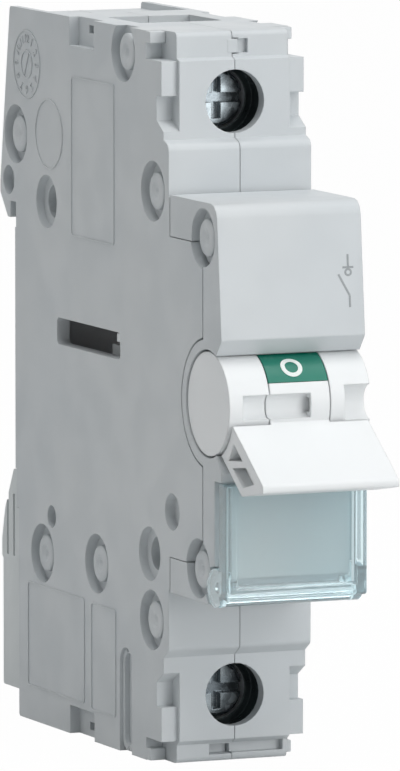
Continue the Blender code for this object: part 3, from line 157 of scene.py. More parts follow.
class NodeBench:
    """Lays out the nodes of one material, world or group."""

    def __init__(self, tree: bpy.types.NodeTree) -> None:
        """Clear the tree and keep it."""
        self.tree = tree
        tree.nodes.clear()

    def node(self, kind: str, **values: object) -> bpy.types.Node:
        """Add a node.

        Args:
            kind: The node's Blender type.
            **values: Settings of the node itself, such as its operation.

        Returns:
            The new node.
        """
        made = self.tree.nodes.new(kind)
        for name, value in values.items():
            setattr(made, name, value)
        return made

    def put(self, socket: Socket, value: object) -> None:
        """Link an output to an input, or set the input to a number or a colour.

        Args:
            socket: The input.
            value: The output, number or colour.
        """
        if isinstance(value, Socket):
            self.tree.links.new(value, socket)
        else:
            socket.default_value = value

    def feed(self, node: bpy.types.Node, **values: object) -> bpy.types.Node:
        """Set or link inputs of a node by name, with underscores for spaces.

        Args:
            node: The node whose inputs are set.
            **values: A number, a colour or another node's output for each input.

        Returns:
            The same node.
        """
        for name, value in values.items():
            self.put(node.inputs[name.replace("_", " ")], value)
        return node

    def fill(self, node: bpy.types.Node, *values: object) -> bpy.types.Node:
        """Set or link the first inputs of a node in their order.

        Args:
            node: The node whose inputs are set.
            *values: A number, a colour or another node's output for each input.

        Returns:
            The same node.
        """
        for socket, value in zip(node.inputs, values):
            self.put(socket, value)
        return node

    def calc(self, operation: str, *values: object) -> Socket:
        """Return the output of a sum on numbers or masks."""
        return self.fill(self.node("ShaderNodeMath", operation=operation), *values).outputs["Value"]

    def noise(self, where: Socket, **values: object) -> Socket:
        """Return the mask of a noise texture read at a place, with its scale, detail and roughness."""
        return self.feed(self.node("ShaderNodeTexNoise"), Vector=where, **values).outputs["Fac"]

    def mix(self, factor: Socket, first: object, second: object) -> Socket:
        """Mix two colours.

        Args:
            factor: Mask that leads from the first to the second.
            first: A colour or a colour output.
            second: A colour or a colour output.

        Returns:
            The mixed colour's output.
        """
        made = self.node("ShaderNodeMix", data_type="RGBA")
        self.put(made.inputs["Factor"], factor)
        self.put(made.inputs[6], first)
        self.put(made.inputs[7], second)
        return made.outputs[2]

    def blend(self, factor: object, first: object, second: object) -> Socket:
        """Return the output of a blend that leads from the first shader to the second."""
        return self.fill(self.node("ShaderNodeMixShader"), factor, first, second).outputs["Shader"]

    def spread(self, value: Socket, to: Span = (0.0, 1.0), over: Span = (0.0, 1.0)) -> Socket:
        """Map a mask onto another range.

        Args:
            value: The mask.
            to: What the start and the end of the range become.
            over: Start and end of the range in the mask.

        Returns:
            The mapped value's output.
        """
        made = self.node("ShaderNodeMapRange", interpolation_type="SMOOTHSTEP")
        self.feed(made, Value=value, From_Min=over[0], From_Max=over[1], To_Min=to[0], To_Max=to[1])
        return made.outputs["Result"]

    def relief(self, height: Socket, depth: float, **values: object) -> Socket:
        """Return the normal of a bump of a given depth, over the normal that is passed on, if any."""
        made = self.feed(self.node("ShaderNodeBump"), Height=height, Distance=depth, **values)
        return made.outputs["Normal"]


class EffectGroups:
    """Builds the node groups that several finishes share."""

    def __init__(self) -> None:
        """Make every shared group once."""
        self.grain = self._mould_grain()
        self.handling = self._handling()
        self.edge = self._edge_rub()

    @staticmethod
    def _sheet(
        name: str, second: str, kind: str, masks: tuple[str, ...]
    ) -> tuple[NodeBench, bpy.types.Node, bpy.types.Node]:
        """Start a group that reads a place and one more value.

        Args:
            name: Name of the group.
            second: Name of its second input.
            kind: Socket type of its second input.
            masks: Names of its outputs.

        Returns:
            The group's node bench, its input node and its output node.
        """
        tree = bpy.data.node_groups.new(name, "ShaderNodeTree")
        tree.interface.new_socket(name="Vector", in_out="INPUT", socket_type="NodeSocketVector")
        tree.interface.new_socket(name=second, in_out="INPUT", socket_type=kind)
        for label in masks:
            tree.interface.new_socket(name=label, in_out="OUTPUT", socket_type="NodeSocketFloat")
        bench = NodeBench(tree)
        return bench, bench.node("NodeGroupInput"), bench.node("NodeGroupOutput")

    def _mould_grain(self) -> bpy.types.NodeTree:
        """Build the spark-eroded grain of a mould, with its slow drift of tone.

        Returns:
            A group with the outputs Height, Drift and Gloss.
        """
        bench, given, result = self._sheet(
            "mould_grain", "Grain Scale", "NodeSocketFloat", ("Height", "Drift", "Gloss")
        )
        where, scale = given.outputs["Vector"], given.outputs["Grain Scale"]
        slow = bench.noise(where, Scale=48.0, Detail=2.0, Roughness=0.45)
        patch = bench.noise(where, Scale=210.0, Detail=3.0, Roughness=0.5)
        bench.feed(
            result,
            Height=bench.noise(where, Scale=scale, Detail=3.0, Roughness=0.6),
            Drift=bench.spread(slow, over=(0.32, 0.68)),
            Gloss=bench.spread(patch, over=(0.3, 0.7)),
        )
        return bench.tree

    def _handling(self) -> bpy.types.NodeTree:
        """Build faint hairline scuffs and settled dust.

        Returns:
            A group with the outputs Scuff and Dust.
        """
        bench, given, result = self._sheet(
            "handling_marks", "Scuff Scale", "NodeSocketFloat", ("Scuff", "Dust")
        )
        where, scale = given.outputs["Vector"], given.outputs["Scuff Scale"]
        slanted = bench.node("ShaderNodeMapping")
        bench.feed(slanted, Vector=where, Rotation=(0.5, 0.3, 0.7), Scale=(1.0, 1.0, 14.0))
        lines = bench.noise(slanted.outputs["Vector"], Scale=scale, Detail=4.0, Roughness=0.7)
        facing = bench.node("ShaderNodeNewGeometry").outputs["Normal"]
        parts = bench.feed(bench.node("ShaderNodeSeparateXYZ"), Vector=facing)
        upward = bench.spread(parts.outputs["Z"], over=(0.35, 1.0))
        specks = bench.noise(where, Scale=900.0, Detail=4.0, Roughness=0.65)
        bench.feed(
            result,
            Scuff=bench.spread(lines, over=(0.64, 0.72)),
            Dust=bench.calc("MULTIPLY", upward, bench.spread(specks, over=(0.45, 0.8))),
        )
        return bench.tree

    def _edge_rub(self) -> bpy.types.NodeTree:
        """Build a mask of the outer edges, broken up by noise, for a painted edge highlight.

        Returns:
            A group with one output, the mask of the painted edge highlight.
        """
        bench, given, result = self._sheet("edge_rub", "Edge Normal", "NodeSocketVector", ("Rub",))
        facing = bench.node("ShaderNodeNewGeometry").outputs["Normal"]
        turn = bench.node("ShaderNodeVectorMath", operation="DOT_PRODUCT")
        bench.fill(turn, given.outputs["Edge Normal"], facing)
        # Painted highlight: the mask is strongest where the rounded normal turns away from the true one,
        # along the edges.
        edge = bench.spread(turn.outputs["Value"], to=(1.0, 0.0), over=(0.72, 0.985))
        broken = bench.noise(given.outputs["Vector"], Scale=1500.0, Detail=2.0, Roughness=0.5)
        highlight_break = bench.spread(broken, to=(0.35, 1.0), over=(0.3, 0.6))
        bench.feed(result, Rub=bench.calc("MULTIPLY", edge, highlight_break))
        return bench.tree


class Easel(NodeBench):
    """The nodes of one material in the making, its textures read at object coordinates."""

    def __init__(self, material: bpy.types.Material, groups: EffectGroups) -> None:
        """Start the material with its shader and output.

        Args:
            material: The material.
            groups: The shared effect groups.
        """
        material.use_nodes = True
        super().__init__(material.node_tree)
        self.groups = groups
        self.shader = self.node("ShaderNodeBsdfPrincipled")
        self.output = self.node("ShaderNodeOutputMaterial")
        self.feed(self.output, Surface=self.shader.outputs["BSDF"])
        self.where = self.node("ShaderNodeTexCoord").outputs["Object"]

    def effect(self, tree: bpy.types.NodeTree, **values: object) -> bpy.types.NodeOutputs:
        """Add a shared group.

        Args:
            tree: The group.
            **values: Its inputs, with object coordinates for a Vector that isn't given.

        Returns:
            Its outputs.
        """
        made = self.node("ShaderNodeGroup", node_tree=tree)
        return self.feed(made, **{"Vector": self.where, **values}).outputs

    def edges(self, radius: float) -> tuple[Socket, Socket]:
        """Round the edges in the shading, and mask them for a painted edge highlight.

        Args:
            radius: Radius of the edges.

        Returns:
            The rounded normal and the mask of the painted edge highlight.
        """
        bevel = self.feed(self.node("ShaderNodeBevel", samples=6), Radius=radius)
        normal = bevel.outputs["Normal"]
        return normal, self.effect(self.groups.edge, Edge_Normal=normal)["Rub"]


@dataclass(frozen=True)
class Finish:
    """What every finish has: the name of its material and its main colour."""

    name: str
    colour: Colour

    def paint(self, easel: Easel) -> None:
        """Lay the finish onto the easel's shader."""
        raise NotImplementedError

    def build(self, groups: EffectGroups) -> bpy.types.Material:
        """Build the material.

        Args:
            groups: The shared effect groups.

        Returns:
            The finished material.
        """
        material = bpy.data.materials.new(self.name)
        self.paint(Easel(material, groups))
        return material


@dataclass(frozen=True)
class MouldedPlastic(Finish):
    """A moulded thermoplastic with its grain, tone drift, soft edges lightened by a painted highlight,
    and faint handling.
    """

    drift_colour: Colour
    # lighter tone laid on along the edges: a painted highlight
    edge_colour: Colour
    dust_colour: Colour = linear(226, 226, 222)
    roughness: Span = (0.42, 0.55)
    grain_scale: float = 5200.0
    grain_depth: float = 0.004 * MM
    edge_radius: float = 0.16 * MM
    edge_share: float = 0.35
    dust_share: float = 0.05
    scuff_scale: float = 260.0
    scuff_share: float = 0.06
    sheen_level: float = 0.42
    index: float = 1.5

    def paint(self, easel: Easel) -> None:
        """Lay the tone drift, the painted edge highlight and dust, and the grain's relief.

        Args:
            easel: The material in the making.
        """
        grain = easel.effect(easel.groups.grain, Grain_Scale=self.grain_scale)
        marks = easel.effect(easel.groups.handling, Scuff_Scale=self.scuff_scale)
        normal, painted_highlight = easel.edges(self.edge_radius)
        body = easel.mix(grain["Drift"], rgba(self.colour), rgba(self.drift_colour))
        # painted highlight: the colour lightens toward the edge colour along the edges
        body = easel.mix(easel.spread(painted_highlight, to=(0.0, self.edge_share)), body, rgba(self.edge_colour))
        dust = easel.spread(marks["Dust"], to=(0.0, self.dust_share))
        gloss = easel.spread(grain["Gloss"], to=self.roughness)
        easel.feed(
            easel.shader,
            Base_Color=easel.mix(dust, body, rgba(self.dust_colour)),
            Roughness=easel.calc("MULTIPLY_ADD", marks["Scuff"], self.scuff_share, gloss),
            Normal=easel.relief(grain["Height"], self.grain_depth, Normal=normal),
            Specular_IOR_Level=self.sheen_level,
            IOR=self.index,
        )


@dataclass(frozen=True)
class ClearPlastic(Finish):
    """Clear moulded polycarbonate with a cool tint that deepens along its edges."""

    drift_colour: Colour
    tint: Colour
    tint_density: float
    roughness: Span = (0.015, 0.05)
    ripple_scale: float = 700.0
    ripple_depth: float = 0.003 * MM
    scuff_scale: float = 180.0
    index: float = 1.585
    clearness: float = 0.86

    def paint(self, easel: Easel) -> None:
        """Lay the clear body, its faint ripple and scuffs, and the tint of its depth.

        Args:
            easel: The material in the making.
        """
        grain = easel.effect(easel.groups.grain, Grain_Scale=self.ripple_scale)
        marks = easel.effect(easel.groups.handling, Scuff_Scale=self.scuff_scale)
        easel.feed(
            easel.shader,
            Base_Color=easel.mix(grain["Drift"], rgba(self.colour), rgba(self.drift_colour)),
            Roughness=easel.spread(marks["Scuff"], to=self.roughness),
            Normal=easel.relief(grain["Drift"], self.ripple_depth),
            IOR=self.index,
            Transmission_Weight=self.clearness,
        )
        depth = easel.node("ShaderNodeVolumeAbsorption")
        easel.feed(depth, Color=rgba(self.tint), Density=self.tint_density)
        easel.feed(easel.output, Volume=depth.outputs["Volume"])


@dataclass(frozen=True)
class WorkedMetal(Finish):
    """A plated or bare metal with drawing lines, tarnish and a painted highlight along its edges."""

    tarnish: Colour
    # lighter tone laid on along the edges: a painted highlight
    edge_colour: Colour
    roughness: Span = (0.24, 0.42)
    line_stretch: Place = (1.0, 1.0, 1.0)
    line_scale: float = 900.0
    line_depth: float = 0.006 * MM
    edge_radius: float = 0.1 * MM
    scuff_scale: float = 420.0
    scuff_share: float = 0.1
    metallic: float = 1.0

    def paint(self, easel: Easel) -> None:
        """Lay the tarnish, the painted edge highlight and the drawing lines.

        Args:
            easel: The material in the making.
        """
        drawn = easel.node("ShaderNodeMapping")
        easel.feed(drawn, Vector=easel.where, Scale=self.line_stretch)
        grain = easel.effect(
            easel.groups.grain, Vector=drawn.outputs["Vector"], Grain_Scale=self.line_scale
        )
        marks = easel.effect(easel.groups.handling, Scuff_Scale=self.scuff_scale)
        normal, painted_highlight = easel.edges(self.edge_radius)
        body = easel.mix(grain["Gloss"], rgba(self.colour), rgba(self.tarnish))
        gloss = easel.spread(grain["Height"], to=self.roughness, over=(0.3, 0.7))
        easel.feed(
            easel.shader,
            # painted highlight: the colour lightens toward the edge colour along the edges
            Base_Color=easel.mix(painted_highlight, body, rgba(self.edge_colour)),
            Roughness=easel.calc("MULTIPLY_ADD", marks["Scuff"], self.scuff_share, gloss),
            Normal=easel.relief(grain["Height"], self.line_depth, Normal=normal),
            Metallic=self.metallic,
        )


@dataclass(frozen=True)
class PrintedFace(Finish):
    """An ink, inlay or card face: a flat colour broken by its own fine tooth."""

    thin_colour: Colour
    roughness: Span = (0.5, 0.62)
    tooth_scale: float = 3800.0
    tooth_depth: float = 0.003 * MM

    def paint(self, easel: Easel) -> None:
        """Lay the flat colour and the tooth.

        Args:
            easel: The material in the making.
        """
        grain = easel.effect(easel.groups.grain, Grain_Scale=self.tooth_scale)
        thin = easel.spread(grain["Height"], over=(0.35, 0.75))
        easel.feed(
            easel.shader,
            Base_Color=easel.mix(thin, rgba(self.colour), rgba(self.thin_colour)),
            Roughness=easel.spread(grain["Gloss"], to=self.roughness),
            Normal=easel.relief(grain["Height"], self.tooth_depth),
        )


# Each finish's edge colour is laid along its edges as a painted highlight.
FINISHES: dict[Enum, Finish] = {
    Slot.HOUSING: MouldedPlastic(
        "housing_grey_moulded",
        colour=linear(203, 207, 209),
        drift_colour=linear(198, 203, 206),
        edge_colour=linear(222, 225, 226),
    ),
    Slot.TOGGLE: MouldedPlastic(
        "toggle_white_moulded",
        colour=linear(232, 234, 235),
        drift_colour=linear(228, 231, 232),
        edge_colour=linear(240, 241, 241),
        roughness=(0.34, 0.44),
        grain_depth=0.002 * MM,
        edge_radius=0.25 * MM,
    ),
    Slot.CLIP: MouldedPlastic(
        "clip_grey_moulded",
        colour=linear(214, 218, 219),
        drift_colour=linear(208, 213, 214),
        edge_colour=linear(226, 229, 230),
        roughness=(0.38, 0.5),
    ),
    Slot.OFF_FIELD: MouldedPlastic(
        "off_field_green",
        colour=linear(10, 118, 98),
        drift_colour=linear(14, 112, 95),
        edge_colour=linear(60, 150, 132),
        roughness=(0.3, 0.4),
        grain_depth=0.001 * MM,
    ),
    Slot.ON_FIELD: MouldedPlastic(
        "on_field_red",
        colour=linear(196, 38, 34),
        drift_colour=linear(186, 34, 32),
        edge_colour=linear(212, 84, 78),
        roughness=(0.3, 0.4),
        grain_depth=0.001 * MM,
    ),
    Slot.CLEAR: ClearPlastic(
        "clear_polycarbonate_moulded",
        colour=linear(238, 250, 253),
        drift_colour=linear(246, 252, 253),
        tint=(0.30, 0.80, 0.92),
        tint_density=75.0,
    ),
    Slot.CARD: PrintedFace(
        "label_card_blank",
        colour=linear(222, 222, 221),
        thin_colour=linear(217, 218, 218),
    ),
    Slot.RIVET: WorkedMetal(
        "rivet_dull_grey",
        colour=linear(196, 200, 202),
        tarnish=linear(186, 191, 194),
        edge_colour=linear(214, 217, 218),
        roughness=(0.46, 0.6),
        metallic=0.15,
        edge_radius=0.14 * MM,
    ),
    Slot.SCREW: WorkedMetal(
        "screw_zinc_plated",
        colour=linear(138, 146, 150),
        tarnish=linear(92, 100, 106),
        edge_colour=linear(232, 236, 236),
        line_stretch=(1.0, 5.0, 1.0),
        roughness=(0.16, 0.34),
    ),
    Slot.CAGE: WorkedMetal(
        "cage_zinc_plated",
        colour=linear(150, 157, 160),
        tarnish=linear(118, 126, 130),
        edge_colour=linear(196, 201, 203),
        line_stretch=(5.0, 1.0, 1.0),
    ),
    Slot.COPPER: WorkedMetal(
        "strip_bare_copper",
        colour=linear(214, 142, 104),
        tarnish=linear(176, 104, 72),
        edge_colour=linear(236, 178, 144),
        line_stretch=(5.0, 1.0, 1.0),
    ),
    Slot.SILVER: WorkedMetal(
        "contact_silver_alloy",
        colour=linear(224, 224, 220),
        tarnish=linear(186, 184, 176),
        edge_colour=linear(242, 242, 240),
        line_stretch=(3.0, 3.0, 1.0),
    ),
    # painted shade: a dark steel that darkens the screw wells, where the real thing has only shade
    Ink.DARK: WorkedMetal(
        "sleeve_dark_steel",
        colour=linear(58, 68, 70),
        tarnish=linear(34, 42, 44),
        edge_colour=linear(110, 120, 122),
        roughness=(0.26, 0.44),
        metallic=0.6,
    ),
    Ink.WHITE: PrintedFace(
        "inlay_white",
        colour=linear(232, 236, 234),
        thin_colour=linear(222, 230, 226),
    ),
    Ink.GREY: PrintedFace(
        "print_grey",
        colour=linear(146, 151, 154),
        thin_colour=linear(158, 163, 165),
    ),
}


class FinishShelf:
    """Builds each finish when it is first asked for."""

    def __init__(self) -> None:
        """Make the shared groups and an empty shelf."""
        self.groups = EffectGroups()
        self.built: dict[Enum, bpy.types.Material] = {}

    def get(self, kind: Enum) -> bpy.types.Material:
        """Return the material of a finish.

        Args:
            kind: The slot or ink.

        Returns:
            Its material, built on the first call.
        """
        if kind not in self.built:
            self.built[kind] = FINISHES[kind].build(self.groups)
        return self.built[kind]


@dataclass(frozen=True)
class Form:
    """A block to cut out of a piece, or to join onto it, by its corners in millimetres."""

    low: Place
    high: Place
    soften: float = 0.0
    joined: bool = False


class Bench:
    """The modelling bench: Blender's operators on one selected piece at a time."""

    weld: float = 0.0002 * MM
    flat_angle: float = math.radians(0.6)

    def __init__(self, shelf: FinishShelf) -> None:
        """Keep the shelf of finishes."""
        self.shelf = shelf

    @staticmethod
    def clear() -> None:
        """Deselect every object."""
        if bpy.context.object and bpy.context.object.mode != "OBJECT":
            bpy.ops.object.mode_set(mode="OBJECT")
        for item in bpy.context.view_layer.objects:
            item.select_set(False)

    def take(self, item: Piece) -> None:
        """Select one object alone and make it active.

        Args:
            item: The object.
        """
        self.clear()
        item.select_set(True)
        bpy.context.view_layer.objects.active = item

    @staticmethod
    def edit(pick: str = "FACE", choice: str = "SELECT") -> None:
        """Enter edit mode with one kind of element, all or none of them selected."""
        bpy.ops.object.mode_set(mode="EDIT")
        bpy.ops.mesh.select_mode(type=pick)
        bpy.ops.mesh.select_all(action=choice)

    @staticmethod
    def leave() -> None:
        """Leave edit mode."""
        bpy.ops.object.mode_set(mode="OBJECT")

    @staticmethod
    def bake_place() -> None:
        """Move the active piece's place, turn and scale into its mesh."""
        bpy.ops.object.transform_apply(location=True, rotation=True, scale=True)

    def modify(self, item: Piece, kind: str, **values: object) -> None:
        """Add a modifier and apply it.

        Args:
            item: The piece.
            kind: The modifier's type.
            **values: The modifier's settings.
        """
        self.take(item)
        modifier = item.modifiers.new(kind.lower(), kind)
        for name, value in values.items():
            setattr(modifier, name, value)
        bpy.ops.object.modifier_apply(modifier=modifier.name)

    def soften(self, item: Piece, width: float, segments: int = 2, **values: object) -> None:
        """Round a piece's sharp edges to a width in metres."""
        self.modify(item, "BEVEL", width=width, segments=segments, limit_method="ANGLE", **values)

    def nudge(
        self, item: Piece, axis: int, level: float, shift: float, behind: float = -math.inf
    ) -> None:
        """Move the flat face that lies at one level of an axis, along that axis.

        Args:
            item: The piece.
            axis: Number of the axis that the face is square to.
            level: Where the face lies on it.
            shift: How far it moves.
            behind: Only what lies behind this Y moves.
        """
        self.take(item)
        self.edit("VERT", "DESELECT")
        self.leave()
        for vertex in item.data.vertices:
            vertex.select = abs(vertex.co[axis] - level) < TOUCH and vertex.co.y > behind
        bpy.ops.object.mode_set(mode="EDIT")
        bpy.ops.transform.translate(value=[shift if number == axis else 0.0 for number in range(3)])
        self.leave()

    def block(self, low: Place, high: Place, soften: float = 0.0) -> Piece:
        """Make a block between two corners given in millimetres.

        Args:
            low: Its lowest corner.
            high: Its highest corner.
            soften: Radius of its rounded edges.

        Returns:
            The block.
        """
        self.clear()
        bpy.ops.mesh.primitive_cube_add(
            size=1.0,
            location=[(a + b) / 2 * MM for a, b in zip(low, high)],
            scale=[(b - a) * MM for a, b in zip(low, high)],
        )
        self.bake_place()
        item = bpy.context.object
        if soften:
            self.soften(item, soften * MM, 3)
        return item

    def rod(self, axis: Axis, middle: Place, radius: float, length: float) -> Piece:
        """Make a round rod, its sizes in millimetres.

        Args:
            axis: The axis that it lies along.
            middle: Its middle.
            radius: Its radius.
            length: Its length.

        Returns:
            The rod.
        """
        self.clear()
        bpy.ops.mesh.primitive_cylinder_add(
            vertices=ROUND_SIDES, radius=radius * MM, depth=length * MM,
            location=[value * MM for value in middle], rotation=axis.value,
        )
        self.bake_place()
        return bpy.context.object

    def annulus(self, radius: float, width: float, **place: object) -> Piece:
        """Make a flat ring.

        Args:
            radius: Its outer radius.
            width: Width of its band.
            **place: Its location and rotation.

        Returns:
            The ring.
        """
        self.clear()
        bpy.ops.mesh.primitive_circle_add(
            vertices=ROUND_SIDES, radius=radius, fill_type="NGON", **place
        )
        self.edit()
        bpy.ops.mesh.inset(thickness=width)
        bpy.ops.mesh.delete(type="FACE")
        self.leave()
        return bpy.context.object

    def carve(self, item: Piece, tool: Piece, joined: bool = False) -> None:
        """Cut a tool's shape out of a piece, or join it on.

        Args:
            item: The piece.
            tool: The shape, which is used up.
            joined: Whether it is joined on.
        """
        operation = "UNION" if joined else "DIFFERENCE"
        self.modify(item, "BOOLEAN", object=tool, operation=operation, solver="EXACT")
        bpy.data.objects.remove(tool)

    def work(self, item: Piece, forms: tuple[Form, ...], way: float = 1.0) -> None:
        """Cut or join blocks in their order.

        Args:
            item: The piece.
            forms: The blocks.
            way: -1 mirrors them to the other side of the module.
        """
        for form in forms:
            near, far = sorted((way * form.low[0], way * form.high[0]))
            tool = self.block((near, *form.low[1:]), (far, *form.high[1:]), form.soften)
            self.carve(item, tool, form.joined)

    def join(self, items: list[Piece]) -> Piece:
        """Join several pieces into one.

        Args:
            items: The pieces.

        Returns:
            The first of them, which holds all.
        """
        self.take(items[0])
        for item in items[1:]:
            item.select_set(True)
        bpy.ops.object.join()
        return bpy.context.object

    def smooth(self, item: Piece, angle: float = 34.0) -> None:
        """Shade a piece smooth up to an angle in degrees, with normals weighted by face area."""
        self.take(item)
        bpy.ops.object.shade_smooth_by_angle(angle=math.radians(angle), keep_sharp_edges=False)
        self.modify(item, "WEIGHTED_NORMAL", keep_sharp=True, weight=60)

    def dress(self, item: Piece, kind: Enum, body: str, name: str = "") -> Piece:
        """Give a piece its name and finish, and hang it on its body.

        Args:
            item: The finished piece.
            kind: Its slot or ink.
            body: The moving body that it rides on.
            name: Its name, if it has none yet.

        Returns:
            The same piece.
        """
        if name:
            item.name = name
            item.data.name = name
        item.data.materials.clear()
        item.data.materials.append(self.shelf.get(kind))
        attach(item, body)
        LOG.info("%s: %d faces, rides on %s", item.name, len(item.data.polygons), body)
        return item

    def moulding(self, node: Piece, kind: Enum, shaping: Shaping | None = None) -> Piece:
        """Stand a smooth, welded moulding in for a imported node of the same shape.

        Args:
            node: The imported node.
            kind: The finish of the moulding.
            shaping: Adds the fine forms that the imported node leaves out.

        Returns:
            The new piece.
        """
        piece = node.copy()
        piece.data = node.data.copy()
        piece.name = node.name + "_moulding"
        piece.data.name = piece.name
        piece.parent = None
        for key in [key for key in piece.keys() if key.startswith("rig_")]:
            del piece[key]
        bpy.context.scene.collection.objects.link(piece)
        self.take(piece)
        bpy.ops.mesh.customdata_custom_splitnormals_clear()
        self.edit("VERT")
        bpy.ops.mesh.remove_doubles(threshold=self.weld)
        self.leave()
        if shaping:
            shaping(piece)
        self.take(piece)
        self.edit("VERT")
        bpy.ops.mesh.dissolve_limited(angle_limit=self.flat_angle)
        self.leave()
        self.smooth(piece)
        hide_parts(node.name)
        return self.dress(piece, kind, node["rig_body"])


@dataclass
class FacePlane:
    """A flat working plane on the object, with its own right, up and outward directions."""

    origin: Vector
    right: Vector
    up: Vector = field(default_factory=lambda: Vector((0.0, 0.0, 1.0)))

    @property
    def out(self) -> Vector:
        """Return the direction out of the plane."""
        return self.right.cross(self.up)

    def at(self, along: float, above: float, proud: float = 0.0) -> Vector:
        """Return the point at a distance along, up and out of the plane."""
        return self.origin + self.right * along + self.up * above + self.out * proud

    def turn(self, lean: float = 0.0) -> Euler:
        """Return the turn that lays a flat primitive onto the plane, leaning by an angle within it."""
        flat = Matrix((self.right, self.up, self.out)).transposed()
        return (flat @ Matrix.Rotation(lean, 3, "Z")).to_euler()


@dataclass
class FlatMarks:
    """Makes raised or printed marks on a working plane, each placed along and up the plane."""

    bench: Bench
    plane: FacePlane
    height: float
    seated: float = 0.004 * MM

    def _place(self, spot: Spot, lean: float = 0.0) -> dict[str, object]:
        """Return the location and rotation of a flat primitive.

        Args:
            spot: Its middle.
            lean: Its turn within the plane.

        Returns:
            Both, as Blender's operators take them.
        """
        return {"location": self.plane.at(*spot, -self.seated), "rotation": self.plane.turn(lean)}

    def _solid(self) -> Piece:
        """Thicken the active flat piece off its plane.

        Returns:
            The piece.
        """
        item = bpy.context.object
        self.bench.bake_place()
        if self.height:
            self.bench.modify(item, "SOLIDIFY", thickness=self.height + self.seated, offset=1.0)
        return item

    def ring(self, spot: Spot, radius: float, width: float) -> Piece:
        """Make a flat ring.

        Args:
            spot: Its centre.
            radius: Its outer radius.
            width: Width of its band.

        Returns:
            The ring.
        """
        self.bench.annulus(radius, width, **self._place(spot))
        return self._solid()

    def bar(self, start: Spot, end: Spot, width: float) -> Piece:
        """Make a straight stroke.

        Args:
            start: Where the stroke begins.
            end: Where it ends.
            width: Width of the stroke.

        Returns:
            The stroke.
        """
        run = Vector((end[0] - start[0], end[1] - start[1]))
        middle = ((start[0] + end[0]) / 2, (start[1] + end[1]) / 2)
        self.bench.clear()
        bpy.ops.mesh.primitive_plane_add(size=1.0, **self._place(middle, math.atan2(run.y, run.x)))
        bpy.context.object.scale = (run.length, width, 1.0)
        self.bench.bake_place()
        self.bench.edit("EDGE")
        bpy.ops.mesh.subdivide(number_cuts=3)
        self.bench.leave()
        return self._solid()

    def frame(self, spot: Spot, size: Spot, corner: float, width: float) -> Piece:
        """Make a thin rectangular outline with rounded corners.

        Args:
            spot: Middle of the rectangle.
            size: Its outer width and height.
            corner: Radius of its corners.
            width: Width of the line.

        Returns:
            The outline.
        """
        self.bench.clear()
        bpy.ops.mesh.primitive_plane_add(size=1.0, **self._place(spot))
        bpy.context.object.scale = (*size, 1.0)
        bpy.ops.object.transform_apply(location=False, rotation=False, scale=True)
        self.bench.edit("VERT")
        bpy.ops.mesh.bevel(offset=corner, segments=4, affect="VERTICES")
        bpy.ops.mesh.select_mode(type="FACE")
        bpy.ops.mesh.select_all(action="SELECT")
        bpy.ops.mesh.inset(thickness=width)
        bpy.ops.mesh.delete(type="FACE")
        self.bench.leave()
        return self._solid()

    def figure(self, text: str, spot: Spot, size: float, lean: float) -> Piece:
        """Make a raised figure, such as a number on a dial.

        Args:
            text: The figure.
            spot: Its centre.
            size: Height of the type.
            lean: Its turn within the plane.

        Returns:
            The figure.
        """
        self.bench.clear()
        bpy.ops.object.text_add(**self._place(spot, lean))
        item = bpy.context.object
        item.data.body = text
        item.data.size = size
        item.data.align_x = "CENTER"
        item.data.align_y = "CENTER"
        item.data.resolution_u = 3
        self.bench.take(item)
        bpy.ops.object.convert(target="MESH")
        self.bench.edit("VERT")
        bpy.ops.mesh.remove_doubles(threshold=0.001 * MM)
        self.bench.leave()
        return self._solid()


@dataclass
class Assembly:
    """A sub-assembly in the making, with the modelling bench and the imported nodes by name."""

    bench: Bench
    nodes: dict[str, Piece]

    def mould(self, name: str, kind: Enum, shaping: Shaping | None = None) -> Piece:
        """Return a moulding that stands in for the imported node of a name."""
        return self.bench.moulding(self.nodes[name], kind, shaping)


